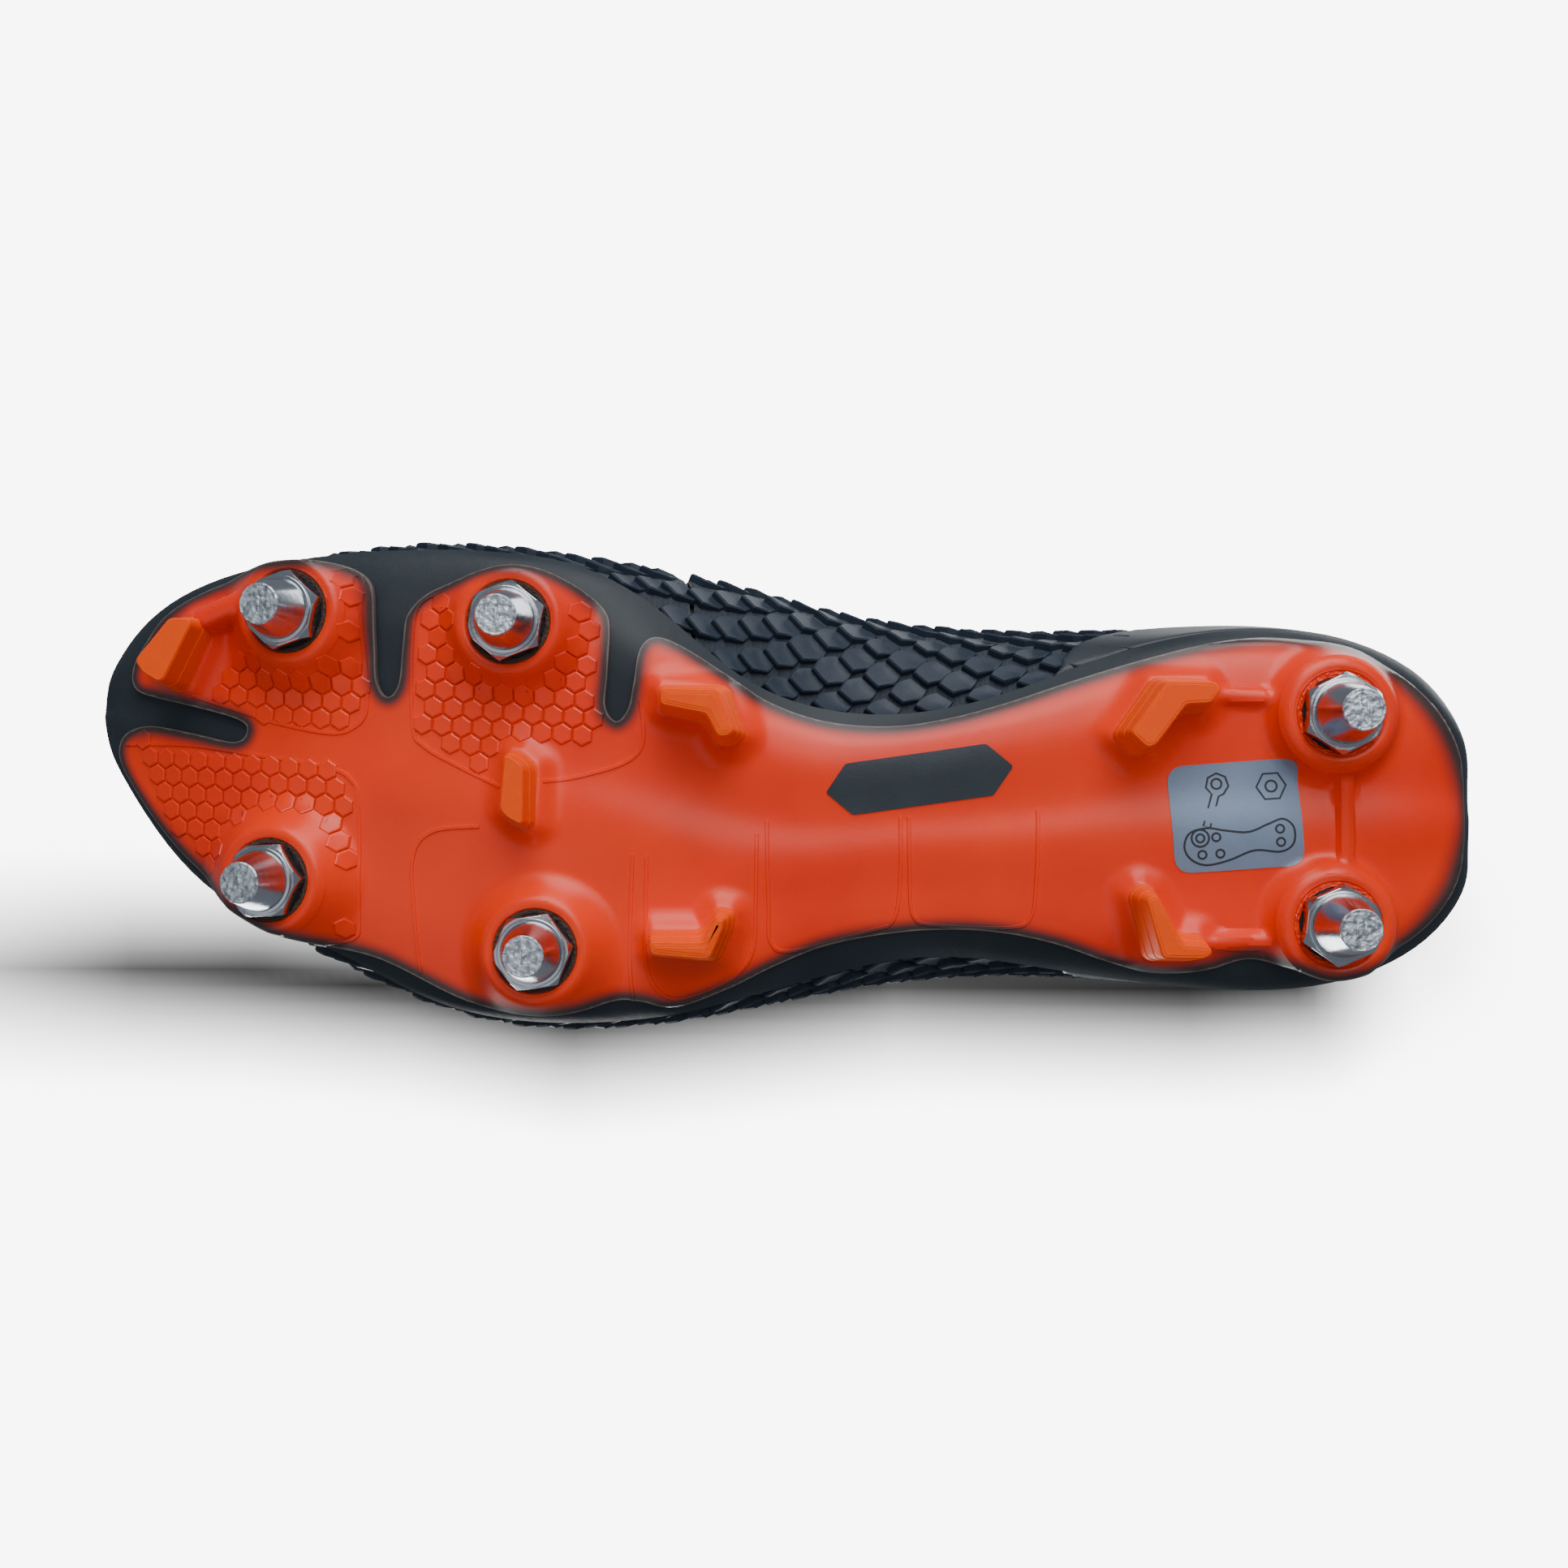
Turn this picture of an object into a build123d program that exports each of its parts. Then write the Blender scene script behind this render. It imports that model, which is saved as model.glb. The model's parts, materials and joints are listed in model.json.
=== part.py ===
from build123d import *
import math
import os
from dataclasses import dataclass

# Right-foot soft-ground soccer cleat standing on its six screw-in studs.
# Millimetres. +X points to the toe, +Y to the medial side, +Z up, the ground is Z = 0.

os.makedirs("parts", exist_ok=True)

# ---- driving dimensions --------------------------------------------------------------------
SOLE_LENGTH = 286.0
HALF_LENGTH = SOLE_LENGTH / 2

FRONT_STUD_HEIGHT = 11.0
REAR_STUD_HEIGHT = 13.0
STUD_HEX_FLATS = 14.0
STUD_HEX_HEIGHT = 3.4
STUD_CONE_BASE_RADIUS = 6.4
STUD_TIP_RADIUS = 3.95
THREAD_RADIUS = 2.5
THREAD_PITCH = 0.8
THREAD_LENGTH = 6.0
BORE_CLEARANCE = 0.08
STUD_HEAD_RADIUS = 3.9
STUD_HEAD_HEIGHT = 2.0
STUD_HEAD_START = 1.2
CAST_IN_CLEARANCE = 0.05

INSERT_BARREL_RADIUS = 4.4
INSERT_FLANGE_RADIUS = 6.0
INSERT_FLANGE_THICKNESS = 1.0
BOSS_POST_RADIUS = 7.2
BOSS_SEAT_RADIUS = 8.9
BOSS_RIM_RADIUS = 10.4
BOSS_FOOT_RADIUS = 18.5
BOSS_RIM_RISE = 0.8
BOSS_DEPTH = 12.0
SEAT_GAP = 0.1
FLANGE_DEPTH = 3.2

UPPER_THICKNESS = 1.4
STIFFENER_IN = 1.5
STIFFENER_OUT = 2.0
LINING_IN = 2.1
LINING_OUT = 3.1
INSOLE_TOP = 7.0
PAD_DEPTH = 6.2
CHASSIS_GAP = 0.2
CHASSIS_OUT = 2.0
SKIN_GAP = 2.1
SKIN_OUT = 3.6
COUNTER_OUT = 1.5
EDGE_INSET = 2.6
SMALLEST_SCALE = 0.25
SEAM_GAP = 0.15

BLADE_HEIGHT_GAP = 5.0
BLADE_DRAFT_DEG = 9.0
BLADE_ROOT_Z = 24.0

LABEL_LENGTH = 25.3
LABEL_WIDTH = 21.3
LABEL_THICKNESS = 0.25
LABEL_CORNER = 4.0
LABEL_CENTRE = (-92.2, -6.3)
LABEL_TURN_DEG = -4.2

SLOT_WIDTH = 4.7

BADGE_LENGTH = 38.0
BADGE_WIDTH = 10.5
BADGE_CENTRE = (-29.9, 1.0)
BADGE_TURN_DEG = -8.0
BADGE_GAP = 0.1

SIDE_REACH = 90.0
TALL = 160.0


# ---- the foot shape ------------------------------------------------------------------------
@dataclass(frozen=True)
class Station:
    """One cross-section of the closed upper: widths to each side, and three heights."""

    x: float
    sole_medial: float
    sole_lateral: float
    side_medial: float
    side_lateral: float
    z_sole: float
    z_side: float
    z_top: float
    ridge: float
    fullness: float


STATIONS = (
    Station(-142.2, 0.0, -12.0, 1.0, -13.0, 40.5, 48.5, 57.0, -6.0, 2.0),
    Station(-140.6, 6.5, -18.5, 8.0, -20.0, 34.0, 48.0, 70.0, -6.0, 2.1),
    Station(-138.0, 13.0, -24.5, 14.0, -26.0, 26.5, 48.0, 92.0, -6.0, 2.3),
    Station(-129.0, 23.5, -33.5, 24.0, -35.0, 22.5, 47.0, 112.0, -6.0, 2.6),
    Station(-112.0, 30.5, -40.5, 31.5, -41.0, 21.6, 46.0, 118.0, -5.0, 2.7),
    Station(-85.0, 30.8, -41.3, 33.0, -41.5, 21.8, 46.0, 120.0, -4.0, 2.6),
    Station(-55.0, 21.0, -37.7, 32.0, -40.0, 23.5, 46.0, 118.0, -3.0, 2.5),
    Station(-25.0, 14.8, -36.2, 34.0, -41.5, 24.5, 45.0, 105.0, -1.0, 2.3),
    Station(2.0, 20.0, -42.8, 40.0, -46.0, 22.8, 41.0, 89.0, 1.0, 2.15),
    Station(20.0, 33.5, -47.2, 44.5, -49.0, 20.5, 38.5, 79.0, 2.0, 2.1),
    Station(38.0, 44.5, -48.0, 47.5, -50.5, 19.3, 37.0, 70.0, 2.5, 2.1),
    Station(65.0, 48.1, -45.5, 50.5, -47.5, 19.1, 36.0, 60.5, 4.0, 2.1),
    Station(95.0, 47.0, -32.5, 48.5, -35.5, 21.0, 37.0, 54.0, 8.5, 2.2),
    Station(118.0, 42.5, -21.0, 42.5, -22.0, 25.0, 38.5, 50.0, 12.0, 2.3),
    Station(132.0, 35.0, -6.5, 34.0, -7.0, 29.5, 39.5, 46.8, 14.5, 2.3),
    Station(140.0, 25.5, 5.0, 24.5, 6.0, 33.0, 39.5, 44.3, 15.5, 2.2),
    Station(143.0, 20.5, 10.5, 20.0, 11.0, 35.6, 39.5, 42.2, 15.5, 2.1),
)

# Trimmed edge of the sole plate, seen from below, from the toe round the medial side.
PLATE_OUTLINE = (
    (143, 16.5), (137, 30.5), (124, 40), (104, 46), (80, 48.3), (56, 47.8), (40, 45), (22, 35),
    (5, 21.5), (-15, 15), (-30, 15), (-50, 19.5), (-72, 27.5), (-95, 31.5), (-115, 30),
    (-132, 21), (-141.5, 5), (-143, -7), (-139, -23), (-127, -35), (-108, -41), (-85, -41.3),
    (-58, -38), (-35, -35.4), (-10, -39.5), (20, -47), (48, -48.5), (68, -44.5), (90, -34),
    (112, -25), (129, -11), (140.5, 6),
)

# Edge of the orange outer skin, which stops short of the plate's edge.
SKIN_OUTLINE = (
    (138.5, 22), (132, 32), (121, 39), (101, 44.3), (88, 45.4), (72, 44.6), (58, 44), (40, 41),
    (22, 30), (8, 21.5), (-7, 13.7), (-24, 11.8), (-48, 16.7), (-76, 25.5), (-101, 29.9),
    (-120, 26.1), (-132.5, 14.8), (-138.8, 1), (-139, -11.6), (-132.4, -26), (-120, -36),
    (-110, -38.8), (-94.8, -34.6), (-77, -38.2), (-57, -32), (-34, -29.3), (-10.4, -32.6),
    (8.5, -41), (19, -45.4), (31, -43.2), (47, -46.2), (61, -43.8), (78, -35.4), (99.5, -29.7),
    (119.6, -16.6), (135, 0), (140.5, 11.5),
)

# Height of the plate's rim and of the collar's edge, along the shoe.
RIM_LINE = (
    (-150, 33), (-120, 29), (-85, 28), (-55, 29.5), (-25, 31.5), (5, 29), (35, 26), (65, 25.5),
    (95, 28.5), (118, 34), (132, 39), (150, 44),
)
TOP_LINE = ((-150, 103), (-135, 99), (-108, 87), (-85, 83), (-58, 89), (-32, 101), (-10, 116))
CUFF_DEPTH = 13.0
BOARD_INSET = 8.0
BOARD_TOP = 37.0
GUSSET_HALF_WIDTH = 12.0
BACK_SEAM_Y = -6.0
TOE_PUFF_BACK = 104.0
INSOLE_CUP = 11.0
GRIP_OUT = 1.3
GRIP_MEDIAL = ((-46, 40), (-25, 36), (10, 33), (45, 30), (80, 31), (100, 36), (92, 44), (60, 50),
               (25, 58), (-10, 63), (-38, 56))
GRIP_LATERAL = ((-20, 38), (5, 34), (40, 30), (75, 31), (98, 36), (86, 43), (50, 50), (15, 56),
                (-12, 54))
PAD_OUTLINE = ((-131, 72), (-122, 63), (-108, 61), (-98, 66), (-97, 73), (-106, 78), (-120, 82))
COUNTER_LINE = ((-150, 66), (-128, 64), (-104, 56), (-80, 44), (-62, 34), (-56, 24))
VAMP_SEAM = ((14, 0), (17, 30), (26, 55), (44, 75), (60, 110))


def section_points(st, offset):
    """Points round a station's outline, starting at the middle of the sole."""
    pts = []
    for side, sole, out in ((1, st.sole_medial, st.side_medial),
                            (-1, st.sole_lateral, st.side_lateral)):
        edge = sole - side * EDGE_INSET
        mid = (st.sole_medial + st.sole_lateral) / 2
        rise = st.z_side - st.z_sole
        half = [
            (mid + 0.45 * (edge - mid), st.z_sole + 0.01 * rise),
            (mid + 0.82 * (edge - mid), st.z_sole + 0.05 * rise),
            (edge, st.z_sole + 0.22 * rise),
            (edge + 0.62 * (out - edge), st.z_sole + 0.55 * rise),
            (out, st.z_side),
        ]
        for deg in (22, 42, 60, 76):
            c = math.cos(math.radians(deg)) ** (2 / st.fullness)
            s = math.sin(math.radians(deg)) ** (2 / st.fullness)
            half.append((st.ridge + (out - st.ridge) * c, st.z_side + (st.z_top - st.z_side) * s))
        pts.append(half)
    middle = ((st.sole_medial + st.sole_lateral) / 2, st.z_sole)
    ring = [middle] + pts[0] + [(st.ridge, st.z_top)] + pts[1][::-1]
    x = st.x * (1 + offset / HALF_LENGTH)
    return [Vector(x, *grown(st, y, z, offset)) for y, z in ring]


def grown(st, y, z, offset):
    """A point of a station's outline, moved out or in with the size of the outline."""
    mid_y, half_y = (st.side_medial + st.side_lateral) / 2, (st.side_medial - st.side_lateral) / 2
    mid_z, half_z = (st.z_top + st.z_sole) / 2, (st.z_top - st.z_sole) / 2
    fy = max(SMALLEST_SCALE, 1 + offset / half_y)
    fz = max(SMALLEST_SCALE, 1 + offset / half_z)
    return mid_y + (y - mid_y) * fy, mid_z + (z - mid_z) * fz


def last(offset):
    """The closed foot shape, grown or shrunk by an offset."""
    wires = [Wire([Edge.make_spline(section_points(st, offset), periodic=True)])
             for st in STATIONS]
    return Solid.make_loft(wires, False)


def layer(outer, inner):
    """A shell between two offsets of the foot shape."""
    return last(outer) - last(inner)


# ---- cutters -------------------------------------------------------------------------------
def prism(points, low=0.0, high=TALL):
    """A vertical prism on a smooth closed outline."""
    edge = Edge.make_spline([Vector(x, y, low) for x, y in points], periodic=True)
    return Solid.extrude(Face(Wire([edge])), Vector(0, 0, high - low))


def curtain(line, z_far):
    """Everything between a smooth line in X and Z and a level, right across the shoe."""
    pts = [Vector(x, -SIDE_REACH, z) for x, z in line]
    first, end = pts[0], pts[-1]
    a = Vector(first.X, -SIDE_REACH, z_far)
    b = Vector(end.X, -SIDE_REACH, z_far)
    wire = Wire([Edge.make_spline(pts), Edge.make_line(end, b), Edge.make_line(b, a),
                 Edge.make_line(a, first)])
    return Solid.extrude(Face(wire), Vector(0, 2 * SIDE_REACH, 0))


def shifted(line, dz):
    """The same line, moved up or down."""
    return tuple((x, z + dz) for x, z in line)


def front_of(line, x_far):
    """Everything between a smooth line in X and Z and a plane across the shoe at x_far."""
    pts = [Vector(x, -SIDE_REACH, z) for x, z in line]
    a = Vector(x_far, -SIDE_REACH, pts[0].Z)
    b = Vector(x_far, -SIDE_REACH, pts[-1].Z)
    wire = Wire([Edge.make_spline(pts), Edge.make_line(pts[-1], b), Edge.make_line(b, a),
                 Edge.make_line(a, pts[0])])
    return Solid.extrude(Face(wire), Vector(0, 2 * SIDE_REACH, 0))


def block(x0, x1, y0, y1, z0, z1):
    """An upright box by its two corners."""
    centre = Location(((x0 + x1) / 2, (y0 + y1) / 2, (z0 + z1) / 2))
    return centre * Solid.make_box(x1 - x0, y1 - y0, z1 - z0,
                                   Plane((-(x1 - x0) / 2, -(y1 - y0) / 2, -(z1 - z0) / 2)))


def side_patch(line, side):
    """A cutter through one side of the shoe on a smooth closed outline in X and Z."""
    edge = Edge.make_spline([Vector(x, side * 4.0, z) for x, z in line], periodic=True)
    return Solid.extrude(Face(Wire([edge])), Vector(0, side * SIDE_REACH, 0))


def biggest(shape):
    """The largest solid of a cut result."""
    return max(shape.solids(), key=lambda s: s.volume)


# ---- studs ---------------------------------------------------------------------------------
@dataclass(frozen=True)
class StudSeat:
    """Where one stud screws in: the middle of its seat, its height and its forward tilt."""

    name: str
    x: float
    y: float
    height: float
    tilt: float
    turn: float

    @property
    def axis(self):
        """The way the stud points, out of the sole."""
        a = math.radians(self.tilt)
        return Vector(math.sin(a), 0, -math.cos(a))

    @property
    def tip_z(self):
        """Lowest point of the tip's flat end is on the ground."""
        return STUD_TIP_RADIUS * math.sin(math.radians(self.tilt))

    @property
    def seat(self):
        """Middle of the seat that the hexagon rests on."""
        tip = Vector(self.x, self.y, self.tip_z)
        return tip - self.axis * self.height

    @property
    def place(self):
        """Location whose +Z runs out of the sole along the stud."""
        x_dir = Vector(math.cos(math.radians(self.tilt)), 0, math.sin(math.radians(self.tilt)))
        return Location(Plane(origin=self.seat, x_dir=x_dir, z_dir=self.axis))


SEATS = (
    StudSeat("toe_medial", 97.3, 34.4, FRONT_STUD_HEIGHT, 8.0, 17.0),
    StudSeat("toe_lateral", 100.8, -19.0, FRONT_STUD_HEIGHT, 8.0, 3.0),
    StudSeat("ball_medial", 51.4, 32.0, FRONT_STUD_HEIGHT, 0.0, 21.0),
    StudSeat("ball_lateral", 46.0, -32.8, FRONT_STUD_HEIGHT, 0.0, 8.0),
    StudSeat("heel_medial", -111.0, 13.6, REAR_STUD_HEIGHT, 0.0, 27.0),
    StudSeat("heel_lateral", -110.3, -27.3, REAR_STUD_HEIGHT, 0.0, 24.0),
)


def drum(radius, z0, z1):
    """A cylinder along the local axis."""
    return Pos(0, 0, z0) * Solid.make_cylinder(radius, z1 - z0)


def stud_body(seat):
    """Hexagon, cone and flat tip in one turned piece, hollow for the head of its screw."""
    hexagon = Rot(0, 0, seat.turn) * extrude(
        RegularPolygon(STUD_HEX_FLATS / 2, 6, major_radius=False), STUD_HEX_HEIGHT)
    corner_radius = STUD_HEX_FLATS / 2 / math.cos(math.radians(30))
    crown = Solid.make_cone(corner_radius + 1.6, corner_radius - 0.9, STUD_HEX_HEIGHT)
    cone = Pos(0, 0, STUD_HEX_HEIGHT) * Solid.make_cone(
        STUD_CONE_BASE_RADIUS, STUD_TIP_RADIUS, seat.height - STUD_HEX_HEIGHT)
    body = (hexagon & crown) + cone
    head_room = drum(STUD_HEAD_RADIUS + CAST_IN_CLEARANCE, STUD_HEAD_START - CAST_IN_CLEARANCE,
                     STUD_HEAD_START + STUD_HEAD_HEIGHT + CAST_IN_CLEARANCE)
    neck_room = drum(THREAD_RADIUS + CAST_IN_CLEARANCE, -1, 2)
    return biggest(body - head_room - neck_room)


def stud_screw():
    """Threaded steel pin with its round head, cast into the stud."""
    pin = drum(THREAD_RADIUS, -THREAD_LENGTH, STUD_HEAD_START + 0.3)
    head = drum(STUD_HEAD_RADIUS, STUD_HEAD_START, STUD_HEAD_START + STUD_HEAD_HEIGHT)
    screw = pin + head
    grooves = int(THREAD_LENGTH / THREAD_PITCH) - 1
    for turn in range(grooves):
        z = -THREAD_LENGTH + 0.6 + turn * THREAD_PITCH
        ring = drum(THREAD_RADIUS + 1, z, z + THREAD_PITCH / 2)
        ring -= drum(THREAD_RADIUS - 0.25, z - 1, z + 1)
        screw -= ring
    return biggest(screw)


def insert_outline(grow):
    """The receptacle's outside: a barrel with an anchoring flange above it."""
    top = THREAD_LENGTH + 1.0
    barrel = drum(INSERT_BARREL_RADIUS + grow, -top - grow, -SEAT_GAP)
    flange = drum(INSERT_FLANGE_RADIUS + grow, -FLANGE_DEPTH - INSERT_FLANGE_THICKNESS - grow,
                  -FLANGE_DEPTH + grow)
    return barrel + flange


def insert():
    """Blind threaded receptacle held inside the plate's boss."""
    bore = drum(THREAD_RADIUS + BORE_CLEARANCE, -THREAD_LENGTH - 0.3, 1)
    return biggest(insert_outline(0) - bore)


# ---- blades --------------------------------------------------------------------------------
@dataclass(frozen=True)
class Blade:
    """A moulded blade: the centre line of its tip, its widths and its tip height."""

    name: str
    line: tuple
    widths: tuple
    tip_z: float


BLADES = (
    Blade("blade_toe", ((124.5, 21.0), (115.5, 32.5)), (3.6, 3.6), 9.5),
    Blade("blade_centre", ((48.5, -6.2), (48.5, 4.4)), (3.0, 3.0), 5.0),
    Blade("chevron_ball_medial", ((21.5, 16.3), (9.4, 15.8), (7.6, 10.2)), (1.9, 2.1, 2.4), 5.0),
    Blade("chevron_ball_lateral", ((23.0, -31.3), (12.0, -32.1), (8.2, -25.6)), (2.0, 2.2, 2.0),
          5.0),
    Blade("chevron_heel_medial", ((-86.2, 17.5), (-77.8, 17.6), (-72.9, 9.6)), (2.1, 2.6, 3.3),
          6.0),
    Blade("chevron_heel_lateral", ((-84.8, -31.4), (-77.0, -31.4), (-72.0, -21.4)),
          (2.5, 2.6, 2.6), 6.0),
)


def wedge_bar(a, b, wa, wb, tip_z):
    """One straight arm of a blade, wider at its root by the draft angle."""
    grow = math.tan(math.radians(BLADE_DRAFT_DEG)) * (BLADE_ROOT_Z - tip_z)
    ends = []
    for z, more in ((tip_z, 0.0), (BLADE_ROOT_Z, grow)):
        ax, ay, bx, by = *a, *b
        size = math.hypot(bx - ax, by - ay)
        ux, uy = (bx - ax) / size, (by - ay) / size
        ra, rb = wa + more, wb + more
        ring = (
            (ax - uy * ra, ay + ux * ra), (ax - ux * ra * 0.75, ay - uy * ra * 0.75),
            (ax + uy * ra, ay - ux * ra), (bx + uy * rb, by - ux * rb),
            (bx + ux * rb * 0.75, by + uy * rb * 0.75), (bx - uy * rb, by + ux * rb),
        )
        ends.append(Wire.make_polygon([Vector(x, y, z) for x, y in ring]))
    return Solid.make_loft(ends, True)


def blade_form(blade):
    """The whole blade down into the plate."""
    arms = [wedge_bar(a, b, wa, wb, blade.tip_z)
            for a, b, wa, wb in zip(blade.line, blade.line[1:], blade.widths, blade.widths[1:])]
    form = arms[0]
    for arm in arms[1:]:
        form = form + arm
    return form


# ---- sole plate ----------------------------------------------------------------------------
def slot(x, y, length, turn, mouth):
    """One open slot: a round-ended cut and its flared mouth at the edge of the sole."""
    cut = Location((x, y, 0), (0, 0, turn)) * extrude(SlotOverall(length, SLOT_WIDTH), TALL)
    return cut + prism(mouth)


SLOTS = (
    (124.0, 13.5, 34.0, 14.0, ((131, 11.5), (146, 8.5), (147, 24), (131, 19.2))),
    (77.2, 32.0, 33.0, 84.0,
     ((80.2, 38), (87, 47), (88, 56), (68, 56), (69, 43), (74.6, 36))),
    (29.6, 26.0, 30.0, 84.0,
     ((32.5, 30), (37, 40), (40, 52), (10, 48), (17, 33), (27, 27))),
)


def badge_face(grow):
    """A plain elongated hexagon that stands where a mark would be."""
    hl, hw = BADGE_LENGTH / 2 + grow, BADGE_WIDTH / 2 + grow
    shoulder = hl - hw * 0.9
    pts = [(-hl, 0), (-shoulder, hw), (shoulder, hw), (hl, 0), (shoulder, -hw), (-shoulder, -hw)]
    outline = make_face(Polyline(*pts, close=True))
    return Location((*BADGE_CENTRE, 0), (0, 0, BADGE_TURN_DEG)) * outline


def boss_mound(seat):
    """The skin's mound round a stud, with a rim that stands proud of the seat."""
    mound = Pos(0, 0, -BOSS_DEPTH) * Solid.make_cone(BOSS_FOOT_RADIUS, BOSS_RIM_RADIUS,
                                                     BOSS_DEPTH + BOSS_RIM_RISE)
    return seat.place * mound


def rib(a, b, radius, z):
    """A low round rib between two points of the sole."""
    start, end = Vector(*a, z), Vector(*b, z)
    way = end - start
    return Location(Plane(origin=start, z_dir=way)) * Solid.make_cylinder(radius, way.length)


RIBS = (
    ((-88, 18.2), (-101, 17.0), 2.0, 17.2),
    ((-86, -32), (-101, -31), 2.2, 17.2),
    ((-113.5, 4), (-113.5, -18), 2.0, 17.2),
    ((106, 38.5), (115, 34.5), 2.0, 15.2),
)


def build_plate():
    """Dark chassis, orange skin and its badge, cut to sit on each other without touching."""
    edge = prism(PLATE_OUTLINE)
    below_rim = curtain(RIM_LINE, 0)
    chassis_block = last(CHASSIS_OUT)
    chassis = (chassis_block & edge & below_rim) - last(CHASSIS_GAP)
    skin_edge = prism(SKIN_OUTLINE)
    cover = last(SKIN_OUT)
    low = curtain(shifted(RIM_LINE, -1.5), 0)
    for seat in SEATS:
        post = seat.place * drum(BOSS_POST_RADIUS, -BOSS_DEPTH, -SEAT_GAP)
        chassis = chassis + (post - last(CHASSIS_GAP))
    for seat in SEATS:
        chassis = chassis - seat.place * insert_outline(CAST_IN_CLEARANCE)
        chassis = chassis - seat.place * drum(INSERT_BARREL_RADIUS, -1, 1)
    for seat in SEATS:
        cover = cover + boss_mound(seat)
    for a, b, radius, z in RIBS:
        cover = cover + rib(a, b, radius, z)
    keep_out = last(SKIN_GAP)
    skin = (cover & skin_edge & low) - keep_out
    for seat in SEATS:
        skin = skin - seat.place * drum(BOSS_SEAT_RADIUS, 0, 5)
        skin = skin - seat.place * drum(BOSS_POST_RADIUS + SEAM_GAP, -20, 2)
    for places in SLOTS:
        skin = skin - slot(*places)
    skin = skin - extrude(badge_face(BADGE_GAP), TALL)
    badge = (last(SKIN_OUT) - keep_out) & extrude(badge_face(0), 40)
    return biggest(chassis), biggest(skin), biggest(badge)


def clear_of_mounds(form):
    """A piece that stands on the skin, trimmed clear of the stud mounds and ribs."""
    for seat in SEATS:
        away = seat.axis * (2 * SEAM_GAP)
        form = form - Pos(away.X, away.Y, away.Z) * boss_mound(seat)
    for a, b, radius, z in RIBS:
        form = form - rib(a, b, radius + SEAM_GAP, z)
    return biggest(form)


def blade_piece(blade):
    """A blade trimmed to stand on the skin."""
    return clear_of_mounds(blade_form(blade) - last(SKIN_OUT + SEAM_GAP))


def heel_label():
    """Thin foil label on the skin under the heel."""
    outline = extrude(RectangleRounded(LABEL_LENGTH, LABEL_WIDTH, LABEL_CORNER), 40)
    outline = Location((*LABEL_CENTRE, 0), (0, 0, LABEL_TURN_DEG)) * outline
    low = SKIN_OUT + SEAM_GAP
    return clear_of_mounds(layer(low + LABEL_THICKNESS, low) & outline)


# ---- upper ---------------------------------------------------------------------------------
def board_outline(grow):
    """Outline of the lasting board, inside the sole edge of the foot shape."""
    inset = BOARD_INSET - grow
    used = [st for st in STATIONS if -140 < st.x < 139]
    up = [(st.x, st.sole_medial - inset) for st in used]
    down = [(st.x, st.sole_lateral + inset) for st in used[::-1]]
    return up + down


def gusset_outline(grow):
    """Outline of the stretch throat, seen from above."""
    wide = GUSSET_HALF_WIDTH + grow
    return ((-60, 0), (-58, wide), (-20, wide + 0.5), (12, wide), (32, 9.5 + grow), (42 + grow, 2),
            (32, -6.5 - grow), (12, -wide + 2), (-20, -wide), (-58, -wide))


def build_upper():
    """Knit outer pieces, split on their seams."""
    knit = layer(0, -UPPER_THICKNESS) - curtain(TOP_LINE, TALL)
    cuff = biggest(knit & curtain(shifted(TOP_LINE, -CUFF_DEPTH), TALL))
    knit = knit - curtain(shifted(TOP_LINE, -CUFF_DEPTH - SEAM_GAP), TALL)
    board = biggest(knit & prism(board_outline(0), 0, BOARD_TOP))
    knit = knit - prism(board_outline(SEAM_GAP), 0, BOARD_TOP)
    gusset = biggest(knit & prism(gusset_outline(0), 50, TALL))
    knit = knit - prism(gusset_outline(SEAM_GAP), 50, TALL)
    vamp = biggest(knit & front_of(VAMP_SEAM, 160))
    back = tuple((x - SEAM_GAP, z) for x, z in VAMP_SEAM)
    knit = knit - front_of(back, 160)
    half = SEAM_GAP / 2
    medial = biggest(knit & block(-160, 80, BACK_SEAM_Y + half, SIDE_REACH, 0, TALL))
    lateral = biggest(knit & block(-160, 80, -SIDE_REACH, BACK_SEAM_Y - half, 0, TALL))
    return {"collar_cuff": cuff, "strobel_board": board, "throat_gusset": gusset, "vamp": vamp,
            "quarter_medial": medial, "quarter_lateral": lateral}


def build_overlays():
    """Heel counter and the two raised grip panels on the outside of the knit."""
    above_rim = curtain(shifted(RIM_LINE, SEAM_GAP), TALL)
    shell = layer(COUNTER_OUT, CHASSIS_GAP) & above_rim
    counter = biggest(shell & curtain(COUNTER_LINE, 0))
    grip = layer(GRIP_OUT, SEAM_GAP) & above_rim
    return {
        "heel_counter": counter,
        "grip_panel_medial": biggest(grip & side_patch(GRIP_MEDIAL, 1)),
        "grip_panel_lateral": biggest(grip & side_patch(GRIP_LATERAL, -1)),
    }


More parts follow.
